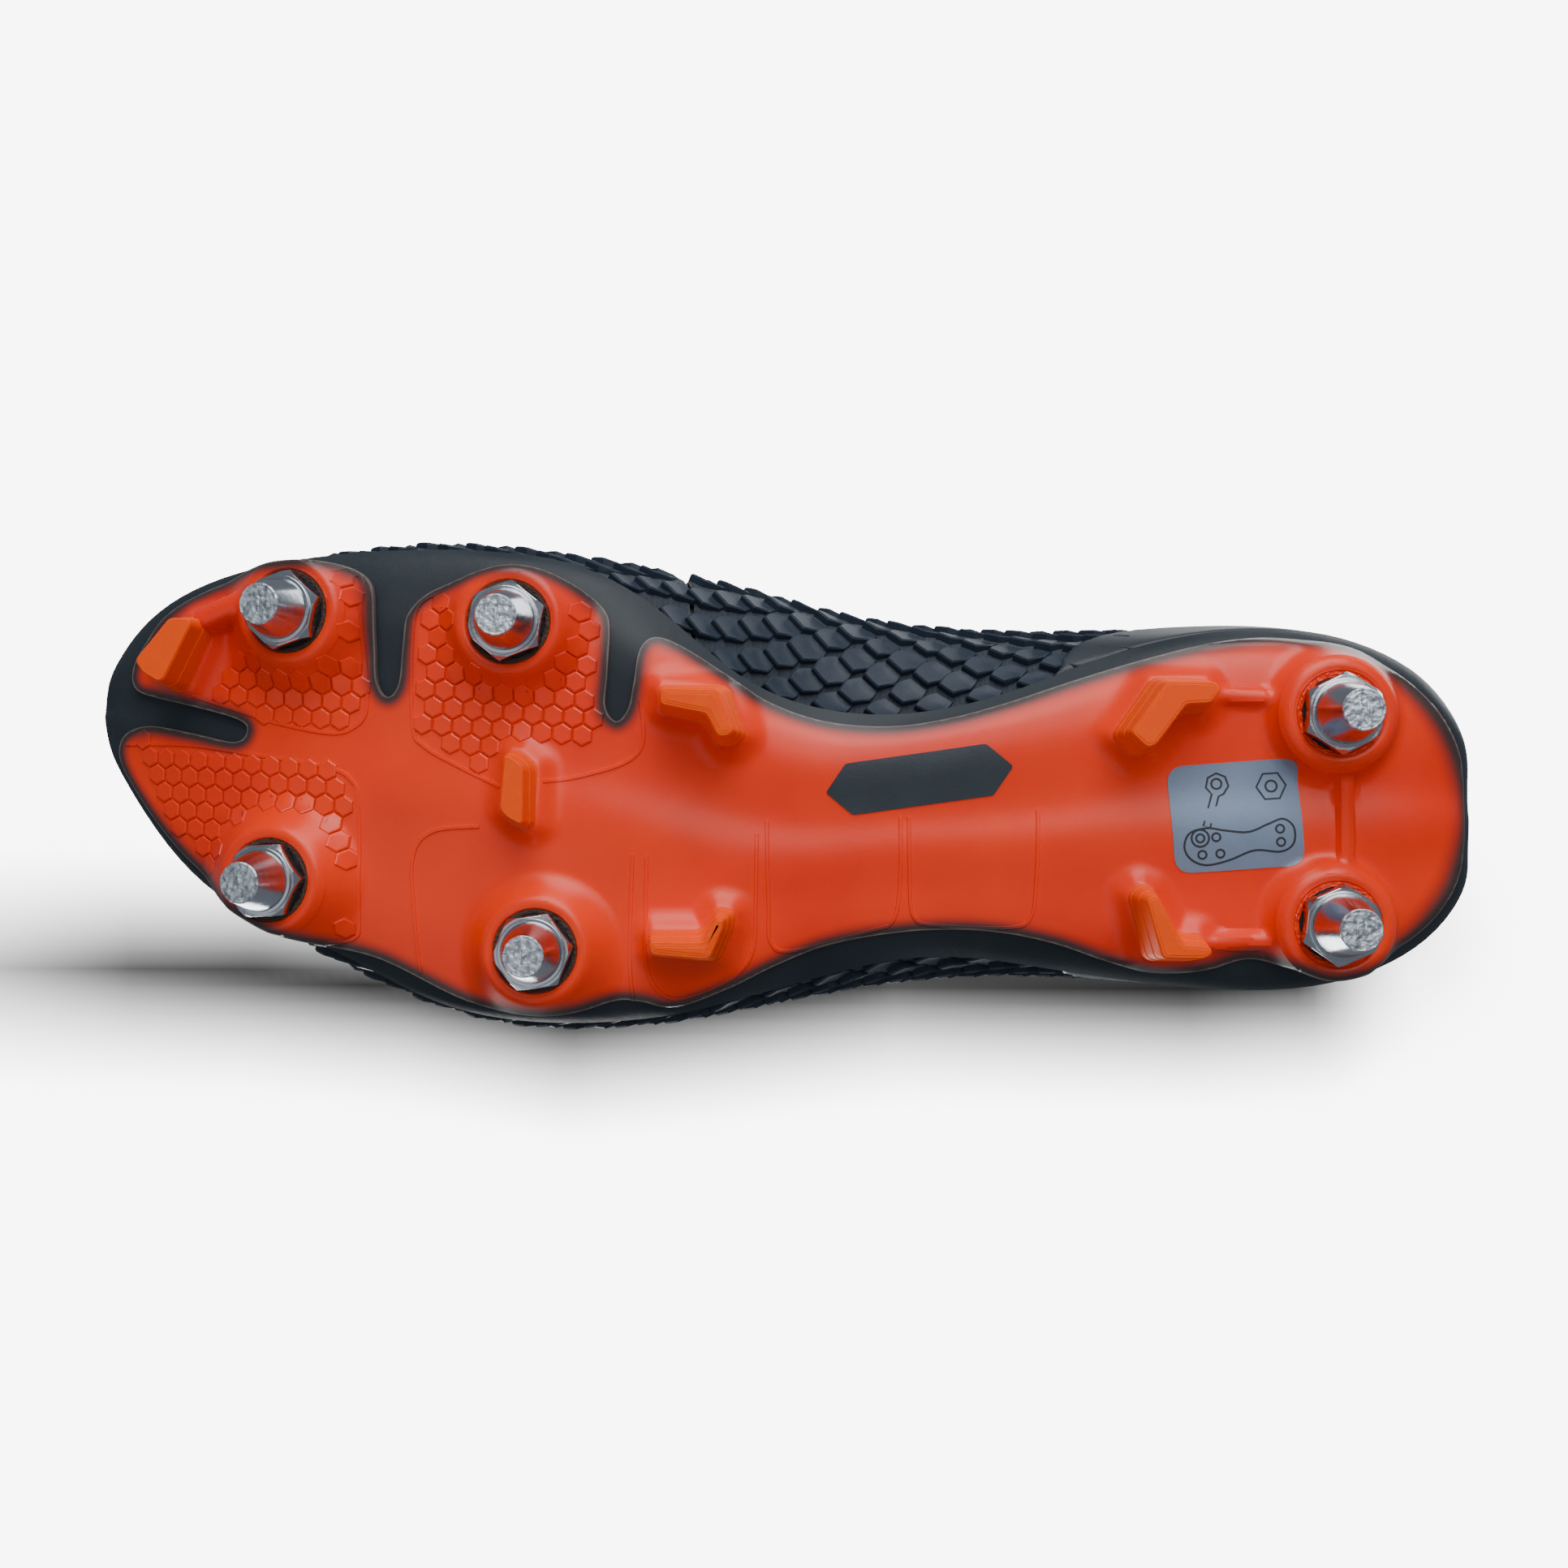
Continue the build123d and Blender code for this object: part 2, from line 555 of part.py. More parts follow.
def build_lining():
    """Stiffeners, bootie lining, insole and heel pads inside the knit."""
    stiff = layer(-STIFFENER_IN, -STIFFENER_OUT)
    above_sole = curtain(shifted(RIM_LINE, -2.0), TALL)
    toe_puff = biggest(stiff & block(TOE_PUFF_BACK, 160, -90, 90, 0, TALL) & above_sole)
    low = curtain(shifted(COUNTER_LINE, -4.0), 0)
    heel_stiffener = biggest(stiff & block(-160, -84, -90, 90, 25, TALL) & low)
    bootie = biggest(layer(-LINING_IN, -LINING_OUT) - curtain(shifted(TOP_LINE, -1.0), TALL))
    under = -LINING_OUT - SEAM_GAP / 2
    insole_line = tuple((st.x * 1.05, st.z_sole + INSOLE_CUP) for st in STATIONS[::2])
    insole = biggest(layer(under, -INSOLE_TOP) & curtain(insole_line, 0))
    pads = {}
    for name, side in (("heel_pad_medial", 1), ("heel_pad_lateral", -1)):
        pads[name] = biggest(layer(under, -PAD_DEPTH) & side_patch(PAD_OUTLINE, side))
    return {"toe_puff": toe_puff, "heel_stiffener": heel_stiffener, "bootie_lining": bootie,
            "insole": insole, **pads}


# ---- write ---------------------------------------------------------------------------------
def origin_shift(shapes):
    """The move that puts the middle of the underside of everything at the origin."""
    boxes = [shape.bounding_box() for shape in shapes]
    low_x, high_x = min(b.min.X for b in boxes), max(b.max.X for b in boxes)
    low_y, high_y = min(b.min.Y for b in boxes), max(b.max.Y for b in boxes)
    return -(low_x + high_x) / 2, -(low_y + high_y) / 2, -min(b.min.Z for b in boxes)


def main():
    """Builds every piece and writes one STEP for each."""
    made = {}
    chassis, skin, badge = build_plate()
    made["plate_chassis"] = chassis
    made["plate_skin"] = skin
    made["arch_badge"] = badge
    for seat in SEATS:
        made["stud_" + seat.name] = seat.place * stud_body(seat)
        made["stud_screw_" + seat.name] = seat.place * stud_screw()
        made["stud_insert_" + seat.name] = seat.place * insert()
    for blade in BLADES:
        made[blade.name] = blade_piece(blade)
    made["heel_label"] = heel_label()
    made.update(build_upper())
    made.update(build_overlays())
    made.update(build_lining())
    shift = origin_shift(made.values())
    print("shift", shift)
    for name, shape in made.items():
        print(name, round(shape.volume), shape.is_valid, len(shape.solids()))
        export_step(Pos(*shift) * shape, f"parts/{name}.step")


if __name__ == "__main__":
    main()
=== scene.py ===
"""Looks of a right-foot soft-ground soccer cleat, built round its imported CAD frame.

Every length is in metres unless a name says otherwise. +X is the toe, +Y the medial side, +Z up, and
the studs stand on Z = 0.
"""

from __future__ import annotations

import json
import logging
import math
from dataclasses import dataclass
from enum import Enum
from typing import Callable

import bmesh
import bpy
import numpy as np
from mathutils import Matrix, Vector
from mathutils.bvhtree import BVHTree


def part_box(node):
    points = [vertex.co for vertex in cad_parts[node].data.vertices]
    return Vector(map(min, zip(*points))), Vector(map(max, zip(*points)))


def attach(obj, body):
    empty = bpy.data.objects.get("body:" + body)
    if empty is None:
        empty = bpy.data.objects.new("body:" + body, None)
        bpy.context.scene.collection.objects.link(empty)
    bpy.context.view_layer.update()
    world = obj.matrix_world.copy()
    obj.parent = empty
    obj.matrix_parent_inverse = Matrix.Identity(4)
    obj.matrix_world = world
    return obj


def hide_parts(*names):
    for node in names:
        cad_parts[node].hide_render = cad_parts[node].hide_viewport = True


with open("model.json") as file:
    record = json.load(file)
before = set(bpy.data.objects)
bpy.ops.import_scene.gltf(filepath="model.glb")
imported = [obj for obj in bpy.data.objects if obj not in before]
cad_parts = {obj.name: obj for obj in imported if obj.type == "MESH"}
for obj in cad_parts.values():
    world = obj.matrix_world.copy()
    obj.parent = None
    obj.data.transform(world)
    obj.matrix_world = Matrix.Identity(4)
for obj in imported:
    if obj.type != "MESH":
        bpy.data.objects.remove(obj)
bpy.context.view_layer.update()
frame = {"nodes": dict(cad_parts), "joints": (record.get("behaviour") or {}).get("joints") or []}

LOG = logging.getLogger("cleat")
MM = 0.001
Point = tuple[float, float, float]
Colour = tuple[float, float, float]
Height = Callable[[np.ndarray, np.ndarray], np.ndarray]

# How far the skin's edge darkens, and how low and high a cutting prism reaches, in millimetres.
FADE_WIDTH = 4.2
CUT_LOW, CUT_HIGH = -10.0, 70.0


def design_shift() -> Vector:
    """Gives the small move between the design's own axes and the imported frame.

    Returns:
        The move in metres, found from the screw of the medial ball stud.
    """
    low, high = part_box("stud_screw_ball_medial")
    centre = (Vector(low) + Vector(high)) / 2
    return Vector((centre.x - 51.4 * MM, centre.y - 32.0 * MM, 0.0))


SHIFT = design_shift()


def place(x: float, y: float, z: float) -> Vector:
    """Turns design millimetres into frame metres.

    Args:
        x: Millimetres towards the toe.
        y: Millimetres towards the medial side.
        z: Millimetres above the ground.

    Returns:
        The point in the frame.
    """
    return Vector((x, y, z)) * MM + SHIFT


# ---- shader writing ------------------------------------------------------------------------------


class Sock:
    """A node socket that ordinary arithmetic can be written on."""

    def __init__(self, tree: "Tree", link: bpy.types.NodeSocket) -> None:
        """Wraps one output socket.

        Args:
            tree: The material being written.
            link: The output socket.
        """
        self.tree = tree
        self.link = link

    def _math(self, operation: str, *values: object) -> "Sock":
        """Adds one Math node."""
        return self.tree.node("ShaderNodeMath", {"operation": operation}, *values)

    def __add__(self, other: object) -> "Sock":
        """Adds."""
        return self._math("ADD", self, other)

    def __radd__(self, other: object) -> "Sock":
        """Adds from the right."""
        return self._math("ADD", other, self)

    def __sub__(self, other: object) -> "Sock":
        """Subtracts."""
        return self._math("SUBTRACT", self, other)

    def __rsub__(self, other: object) -> "Sock":
        """Subtracts from a number."""
        return self._math("SUBTRACT", other, self)

    def __mul__(self, other: object) -> "Sock":
        """Multiplies."""
        return self._math("MULTIPLY", self, other)

    def __rmul__(self, other: object) -> "Sock":
        """Multiplies from the right."""
        return self._math("MULTIPLY", other, self)

    def __truediv__(self, other: object) -> "Sock":
        """Divides."""
        return self._math("DIVIDE", self, other)

    def clamp(self) -> "Sock":
        """Keeps the value between 0 and 1."""
        return self.tree.node("ShaderNodeClamp", {}, self)

    def step(self, low: float, high: float) -> "Sock":
        """Ramps smoothly from 0 to 1.

        Args:
            low: Value that gives 0.
            high: Value that gives 1.

        Returns:
            The smooth ramp.
        """
        return self.tree.node("ShaderNodeMapRange", {"interpolation_type": "SMOOTHSTEP"}, self, low, high)


class Tree:
    """One material's node tree, written through a single node method."""

    def __init__(self, name: str) -> None:
        """Starts an empty material.

        Args:
            name: Name of the material.
        """
        self.material = bpy.data.materials.new(name)
        self.material.use_nodes = True
        self.nodes = self.material.node_tree.nodes
        self.nodes.clear()

    def node(self, kind: str, settings: dict, *values: object, output: int | str = 0,
             **named: object) -> Sock:
        """Adds a node.

        Args:
            kind: The node's type.
            settings: Properties set on the node first.
            *values: Values or links of the first inputs, in order. None leaves an input alone.
            output: Which output to give back.
            **named: Values or links of inputs by name, with _ for a space.

        Returns:
            The chosen output.
        """
        made = self.nodes.new(kind)
        for key, value in settings.items():
            setattr(made, key, value)
        pairs = [(made.inputs[k], v) for k, v in enumerate(values)]
        pairs += [(made.inputs[key.replace("_", " ")], v) for key, v in named.items()]
        for socket, value in pairs:
            if isinstance(value, Sock):
                self.material.node_tree.links.new(value.link, socket)
            elif value is not None:
                socket.default_value = value
        return Sock(self, made.outputs[output])

    def place(self) -> Sock:
        """Gives Object coordinates in millimetres."""
        raw = self.node("ShaderNodeTexCoord", {}, output="Object")
        return self.node("ShaderNodeVectorMath", {"operation": "SCALE"}, raw, Scale=1 / MM)

    def noise(self, where: Sock, scale: float, detail: float = 3.0) -> Sock:
        """Gives a noise value around a half.

        Args:
            where: Coordinates in millimetres.
            scale: Cells to the millimetre.
            detail: Octaves.

        Returns:
            The noise factor.
        """
        return self.node("ShaderNodeTexNoise", {}, where, Scale=scale, Detail=detail)

    def attribute(self, name: str) -> Sock:
        """Gives a mesh attribute's value.

        Args:
            name: Name of the attribute.
        """
        return self.node("ShaderNodeAttribute", {"attribute_name": name}, output="Fac")

    def mix(self, factor: Sock | float, first: Sock | Colour, second: Sock | Colour) -> Sock:
        """Mixes two colours.

        Args:
            factor: 0 gives the first and 1 the second.
            first: A colour or a link.
            second: A colour or a link.

        Returns:
            The mixed colour.
        """
        made = self.nodes.new("ShaderNodeMix")
        made.data_type = "RGBA"
        for socket, value in zip((made.inputs[0], made.inputs[6], made.inputs[7]), (factor, first, second)):
            if isinstance(value, Sock):
                self.material.node_tree.links.new(value.link, socket)
            else:
                socket.default_value = value if isinstance(value, float) else (*value, 1.0)
        return Sock(self, made.outputs[2])

    def bump(self, height: Sock, distance_mm: float, strength: float = 1.0) -> Sock:
        """Turns a height into a normal.

        Args:
            height: Height from 0 to 1.
            distance_mm: Millimetres that a height of 1 stands for.
            strength: How much of it is used.

        Returns:
            The normal.
        """
        return self.node("ShaderNodeBump", {}, Strength=strength, Distance=distance_mm * MM, Height=height)

    def finish(self, colour: Sock | Colour, roughness: Sock | float, normal: Sock | None = None,
               **constants: object) -> bpy.types.Material:
        """Closes the material with one Principled shader.

        Args:
            colour: Base colour.
            roughness: Roughness.
            normal: Normal, if it has one.
            **constants: Other inputs of the shader by name, with _ for a space.

        Returns:
            The finished material.
        """
        values = {"Base_Color": colour if isinstance(colour, Sock) else (*colour, 1.0),
                  "Roughness": roughness, "Normal": normal, **constants}
        shader = self.node("ShaderNodeBsdfPrincipled", {}, **values)
        self.node_output(shader)
        return self.material

    def node_output(self, shader: Sock) -> None:
        """Links a shader to the material's output.

        Args:
            shader: The closing shader.
        """
        output = self.nodes.new("ShaderNodeOutputMaterial")
        self.material.node_tree.links.new(shader.link, output.inputs["Surface"])


# ---- finishes --------------------------------------------------------------------------------------


@dataclass(frozen=True)
class DarkPlate:
    """Satin slate composite of the chassis."""

    colour: Colour = (0.017, 0.024, 0.031)
    worn: Colour = (0.027, 0.036, 0.045)

    def make(self) -> bpy.types.Material:
        """Writes the material.

        Returns:
            The material.
        """
        t = Tree("dark_plate")
        where = t.place()
        cloud = t.noise(where, 0.05).step(0.35, 0.7)
        grain = t.noise(where, 2.6, 4.0)
        colour = t.mix(cloud * 0.7, self.colour, self.worn)
        return t.finish(colour, 0.42 + 0.14 * cloud, t.bump(grain, 0.02), Specular_IOR_Level=0.28)


@dataclass(frozen=True)
class OrangeSkin:
    """Glossy translucent red-orange skin that darkens towards its edge and ends in a pale line, the thin
    translucent edge with a painted highlight along it; the same darkening also paints shade into the grooves
    round the sole's hexagons.
    """

    deep: Colour = (0.86, 0.026, 0.0)
    bright: Colour = (0.98, 0.040, 0.0)
    edge: Colour = (0.050, 0.030, 0.030)
    line: Colour = (0.22, 0.17, 0.15)

    def make(self) -> bpy.types.Material:
        """Writes the material.

        Returns:
            The material.
        """
        t = Tree("orange_skin")
        where = t.place()
        cloud = t.noise(where, 0.035).step(0.3, 0.7)
        # The attribute holds the darkening towards the skin's edge and, on the hexagons, painted shade in
        # the grooves.
        fade = t.attribute("edge_fade")
        colour = t.mix(fade.step(0.05, 0.85), t.mix(cloud, self.deep, self.bright), self.edge)
        # Painted highlight: a pale line along the very edge of the skin, standing also for its thin
        # translucent edge.
        colour = t.mix(fade.step(0.93, 0.985) * 0.6, colour, self.line)
        scuff = t.noise(where, 0.9, 5.0)
        return t.finish(colour, 0.26 + 0.12 * scuff, t.bump(scuff, 0.02), Specular_IOR_Level=0.42)


@dataclass(frozen=True)
class OrangeBlade:
    """Bright solid orange of the moulded blades."""

    colour: Colour = (1.0, 0.082, 0.0)
    worn: Colour = (1.0, 0.105, 0.0)

    def make(self) -> bpy.types.Material:
        """Writes the material.

        Returns:
            The material.
        """
        t = Tree("orange_blade")
        where = t.place()
        wear = t.noise(where, 0.35, 5.0).step(0.45, 0.8)
        return t.finish(t.mix(wear, self.colour, self.worn), 0.55 + 0.2 * wear,
                        t.bump(t.noise(where, 1.8, 4.0), 0.04), Specular_IOR_Level=0.18)


@dataclass(frozen=True)
class WornMetal:
    """The scraped and pitted tip of a stud."""

    dark: Colour = (0.36, 0.39, 0.43)
    bright: Colour = (0.74, 0.80, 0.86)

    def make(self) -> bpy.types.Material:
        """Writes the material.

        Returns:
            The material.
        """
        t = Tree("worn_tip")
        where = t.place()
        pits = t.node("ShaderNodeTexVoronoi", {}, where, Scale=0.9)
        scrape = t.noise(where, 0.9, 6.0)
        height = (pits * 0.6 + scrape * 0.8).clamp()
        colour = t.mix(scrape.step(0.35, 0.65), self.dark, self.bright)
        return t.finish(colour, 0.36 + 0.2 * scrape, t.bump(height, 0.35), Metallic=1.0)


@dataclass(frozen=True)
class Metal:
    """A bare metal with fine handling marks."""

    name: str
    colour: Colour
    roughness: float

    def make(self) -> bpy.types.Material:
        """Writes the material.

        Returns:
            The material.
        """
        t = Tree(self.name)
        where = t.place()
        marks = t.noise(where, 1.2, 5.0)
        return t.finish(self.colour, self.roughness + 0.15 * marks, t.bump(marks, 0.03), Metallic=1.0)


@dataclass(frozen=True)
class Knit:
    """A fine knit, with ribs that run round the foot; its colour is painted lighter on raised threads and
    darker between them as shade, with some random tone.
    """

    name: str
    colour: Colour
    light: Colour
    pitch_mm: float = 1.1

    def make(self) -> bpy.types.Material:
        """Writes the material.

        Returns:
            The material.
        """
        t = Tree(self.name)
        where = t.place()
        rows = t.node("ShaderNodeTexWave", {"bands_direction": "X"}, where,
                      Scale=math.pi / 10 / self.pitch_mm, Distortion=0.6, Detail=2.0)
        threads = t.node("ShaderNodeTexVoronoi", {}, where, Scale=1.3 / self.pitch_mm)
        cloud = t.noise(where, 0.04)
        height = rows * 0.5 + threads * 0.5
        # Painted shade: the colour follows the bump's height, darker in the knit's hollows and lighter on
        # its raised threads, mixed with random tone.
        colour = t.mix((height * 0.6 + cloud * 0.4).clamp(), self.colour, self.light)
        return t.finish(colour, 0.8, t.bump(height, 0.25), Sheen_Weight=0.25, Sheen_Roughness=0.5)


@dataclass(frozen=True)
class Smooth:
    """A plain moulded or foil surface with slight unevenness."""

    name: str
    colour: Colour
    roughness: float
    metallic: float = 0.0

    def make(self) -> bpy.types.Material:
        """Writes the material.

        Returns:
            The material.
        """
        t = Tree(self.name)
        where = t.place()
        cloud = t.noise(where, 0.12, 4.0)
        lighter = tuple(min(1.0, c * 1.35 + 0.01) for c in self.colour)
        return t.finish(t.mix(cloud, self.colour, lighter), self.roughness + 0.1 * cloud,
                        t.bump(t.noise(where, 1.5, 3.0), 0.03), Metallic=self.metallic)


class Finish(Enum):
    """Every finish on the boot."""

    PLATE = DarkPlate()
    SKIN = OrangeSkin()
    BLADE = OrangeBlade()
    ALLOY = Metal("stud_alloy", (0.50, 0.53, 0.57), 0.14)
    STEEL = Metal("screw_steel", (0.55, 0.55, 0.56), 0.3)
    BRASS = Metal("insert_brass", (0.72, 0.52, 0.25), 0.3)
    KNIT = Knit("navy_knit", (0.006, 0.011, 0.020), (0.016, 0.026, 0.042))
    GUSSET = Knit("gusset_knit", (0.010, 0.013, 0.022), (0.03, 0.036, 0.05), 1.6)
    CUFF = Knit("cuff_rib", (0.008, 0.010, 0.016), (0.022, 0.026, 0.036), 2.0)
    LINING = Knit("lining_mesh", (0.02, 0.02, 0.024), (0.06, 0.06, 0.07), 1.4)
    INSOLE = Knit("insole_cloth", (0.02, 0.026, 0.045), (0.06, 0.07, 0.1), 1.2)
    BOARD = Knit("board_felt", (0.5, 0.5, 0.47), (0.66, 0.65, 0.6), 1.0)
    COUNTER = Smooth("heel_counter", (0.013, 0.019, 0.027), 0.42)
    GRIP = Smooth("grip_film", (0.0058, 0.0150, 0.030), 0.5)
    SHEET = Smooth("stiffener_sheet", (0.55, 0.54, 0.5), 0.6)
    BADGE = Smooth("arch_badge", (0.012, 0.020, 0.028), 0.4)
    GRIT = Smooth("packed_grit", (0.060, 0.032, 0.024), 0.9)
    TIP = WornMetal()
    INK = Smooth("label_ink", (0.012, 0.014, 0.018), 0.5)
    FOIL = Smooth("label_foil", (0.17, 0.225, 0.32), 0.45, 0.35)


class Wardrobe:
    """Makes each finish once and hands it out."""

    def __init__(self) -> None:
        """Starts with nothing made."""
        self._made: dict[Finish, bpy.types.Material] = {}

    def get(self, finish: Finish) -> bpy.types.Material:
        """Gives a finish's material.

        Args:
            finish: The finish wanted.

        Returns:
            Its material.
        """
        if finish not in self._made:
            self._made[finish] = finish.value.make()
        return self._made[finish]

    def dress(self, piece: bpy.types.Object, finish: Finish) -> None:
        """Puts one finish all over a piece.

        Args:
            piece: The piece.
            finish: The finish wanted.
        """
        material = self.get(finish)
        if not piece.material_slots:
            piece.data.materials.append(material)
        for slot in piece.material_slots:
            slot.material = material


# ---- mesh helpers ------------------------------------------------------------------------------------


def deselect() -> None:
    """Leaves object mode's selection empty."""
    if bpy.context.object and bpy.context.object.mode != "OBJECT":
        bpy.ops.object.mode_set(mode="OBJECT")
    bpy.ops.object.select_all(action="DESELECT")


def pick(*pieces: bpy.types.Object) -> None:
    """Selects pieces and makes the first one active.

    Args:
        *pieces: The pieces.
    """
    deselect()
    for piece in pieces:
        piece.select_set(True)
    bpy.context.view_layer.objects.active = pieces[0]


def from_points(name: str, points: list, faces: list) -> bpy.types.Object:
    """Makes a piece from points in metres.

    Args:
        name: Name of the piece.
        points: Its points.
        faces: Its faces, as point numbers.

    Returns:
        The piece.
    """
    mesh = bpy.data.meshes.new(name)
    mesh.from_pydata(points, [], faces)
    mesh.update()
    piece = bpy.data.objects.new(name, mesh)
    bpy.context.scene.collection.objects.link(piece)
    return piece


def modify(piece: bpy.types.Object, kind: str, **settings: object) -> None:
    """Adds a modifier and applies it.

    Args:
        piece: The piece.
        kind: The modifier's type.
        **settings: Its settings.
    """
    pick(piece)
    modifier = piece.modifiers.new(kind.lower(), kind)
    for key, value in settings.items():
        setattr(modifier, key, value)
    bpy.ops.object.modifier_apply(modifier=modifier.name)


def carve(piece: bpy.types.Object, tool: bpy.types.Object, operation: str) -> None:
    """Cuts a piece with a closed tool, and deletes the tool.

    Args:
        piece: The piece.
        tool: The closed tool.
        operation: DIFFERENCE or INTERSECT.
    """
    modify(piece, "BOOLEAN", object=tool, operation=operation, solver="EXACT")
    bpy.data.objects.remove(tool)


def join(name: str, *pieces: bpy.types.Object) -> bpy.types.Object:
    """Joins pieces into one.

    Args:
        name: Name of the result.
        *pieces: The pieces.

    Returns:
        The joined piece.
    """
    pick(*pieces)
    bpy.ops.object.join()
    pieces[0].name = name
    return pieces[0]


def smooth(piece: bpy.types.Object, degrees: float = 35.0) -> None:
    """Shades smooth across edges flatter than an angle.

    Args:
        piece: The piece.
        degrees: The angle.
    """
    pick(piece)
    bpy.ops.object.shade_smooth_by_angle(angle=math.radians(degrees))


def outward(piece: bpy.types.Object) -> None:
    """Turns every face of a closed piece outwards.

    Args:
        piece: The piece.
    """
    pick(piece)
    bpy.ops.object.mode_set(mode="EDIT")
    bpy.ops.mesh.select_all(action="SELECT")
    bpy.ops.mesh.normals_make_consistent(inside=False)
    bpy.ops.object.mode_set(mode="OBJECT")


def settle(piece: bpy.types.Object) -> None:
    """Puts a piece's place, turn and size into its mesh."""
    pick(piece)
    bpy.ops.object.transform_apply(location=True, rotation=True, scale=True)


def select_faces(piece: bpy.types.Object, test: Callable[[bmesh.types.BMFace], bool]) -> None:
    """Goes into edit mode with the faces that pass a test selected.

    Args:
        piece: The piece.
        test: Says whether a face is wanted.
    """
    pick(piece)
    bpy.ops.object.mode_set(mode="EDIT")
    bpy.ops.mesh.select_mode(type="FACE")
    bpy.ops.mesh.select_all(action="DESELECT")
    form = bmesh.from_edit_mesh(piece.data)
    for face in form.faces:
        face.select = test(face)
    form.select_flush_mode()
    bmesh.update_edit_mesh(piece.data)


def curve_through(points: tuple, closed: bool, steps: int) -> np.ndarray:
    """Runs a smooth curve through points.

    Args:
        points: Points in millimetres, x and y.
        closed: Whether the curve meets its own start.
        steps: Pieces between neighbouring points.

    Returns:
        The curve's points, one to a row.
    """
    given = np.array(points, float)
    count = len(given)
    spans = count if closed else count - 1
    out = []
    for k in range(spans):
        picks = [k - 1, k, k + 1, k + 2]
        near = given[[i % count if closed else min(max(i, 0), count - 1) for i in picks]]
        for s in np.linspace(0.0, 1.0, steps, endpoint=False):
            out.append(0.5 * (2 * near[1] + (near[2] - near[0]) * s
                              + (2 * near[0] - 5 * near[1] + 4 * near[2] - near[3]) * s ** 2
                              + (3 * near[1] - near[0] - 3 * near[2] + near[3]) * s ** 3))
    if not closed:
        out.append(given[-1])
    return np.array(out)


def prism(name: str, outline: np.ndarray, low: float, high: float) -> bpy.types.Object:
    """Makes a closed upright prism on an outline.

    Args:
        name: Name of the piece.
        outline: Points in design millimetres, one to a row.
        low: Height of its underside in millimetres.
        high: Height of its top in millimetres.

    Returns:
        The prism.
    """
    area = np.cross(outline, np.roll(outline, -1, axis=0)).sum()
    ring = outline if area > 0 else outline[::-1]
    count = len(ring)
    points = [place(x, y, z) for z in (low, high) for x, y in ring]
    faces = [list(range(count))[::-1], list(range(count, 2 * count))]
    faces += [[k, (k + 1) % count, count + (k + 1) % count, count + k] for k in range(count)]
    return from_points(name, points, faces)


def distance_to(x: np.ndarray, y: np.ndarray, line: np.ndarray) -> np.ndarray:
    """Gives the distance from points to a run of straight pieces.

    Args:
        x: Points' x in millimetres.
        y: Points' y in millimetres.
        line: The run's points, one to a row.

    Returns:
        The shortest distance of each point.
    """
    best = np.full(x.shape, 1e9)
    for (ax, ay), (bx, by) in zip(line, line[1:]):
        dx, dy = bx - ax, by - ay
        along = np.clip(((x - ax) * dx + (y - ay) * dy) / (dx * dx + dy * dy), 0.0, 1.0)
        best = np.minimum(best, np.hypot(x - ax - along * dx, y - ay - along * dy))
    return best


def inside(x: float, y: float, outline: np.ndarray) -> bool:
    """Says whether a point is inside a closed outline.

    Args:
        x: Millimetres along.
        y: Millimetres across.
        outline: The outline's points, one to a row.

    Returns:
        True if it is inside.
    """
    x1, y1 = outline[:, 0], outline[:, 1]
    x2, y2 = np.roll(x1, -1), np.roll(y1, -1)
    crossing = (y1 > y) != (y2 > y)
    where = x1[crossing] + (y - y1[crossing]) / (y2[crossing] - y1[crossing]) * (x2[crossing] - x1[crossing])
    return bool(np.count_nonzero(where > x) % 2)


# ---- stage -----------------------------------------------------------------------------------------


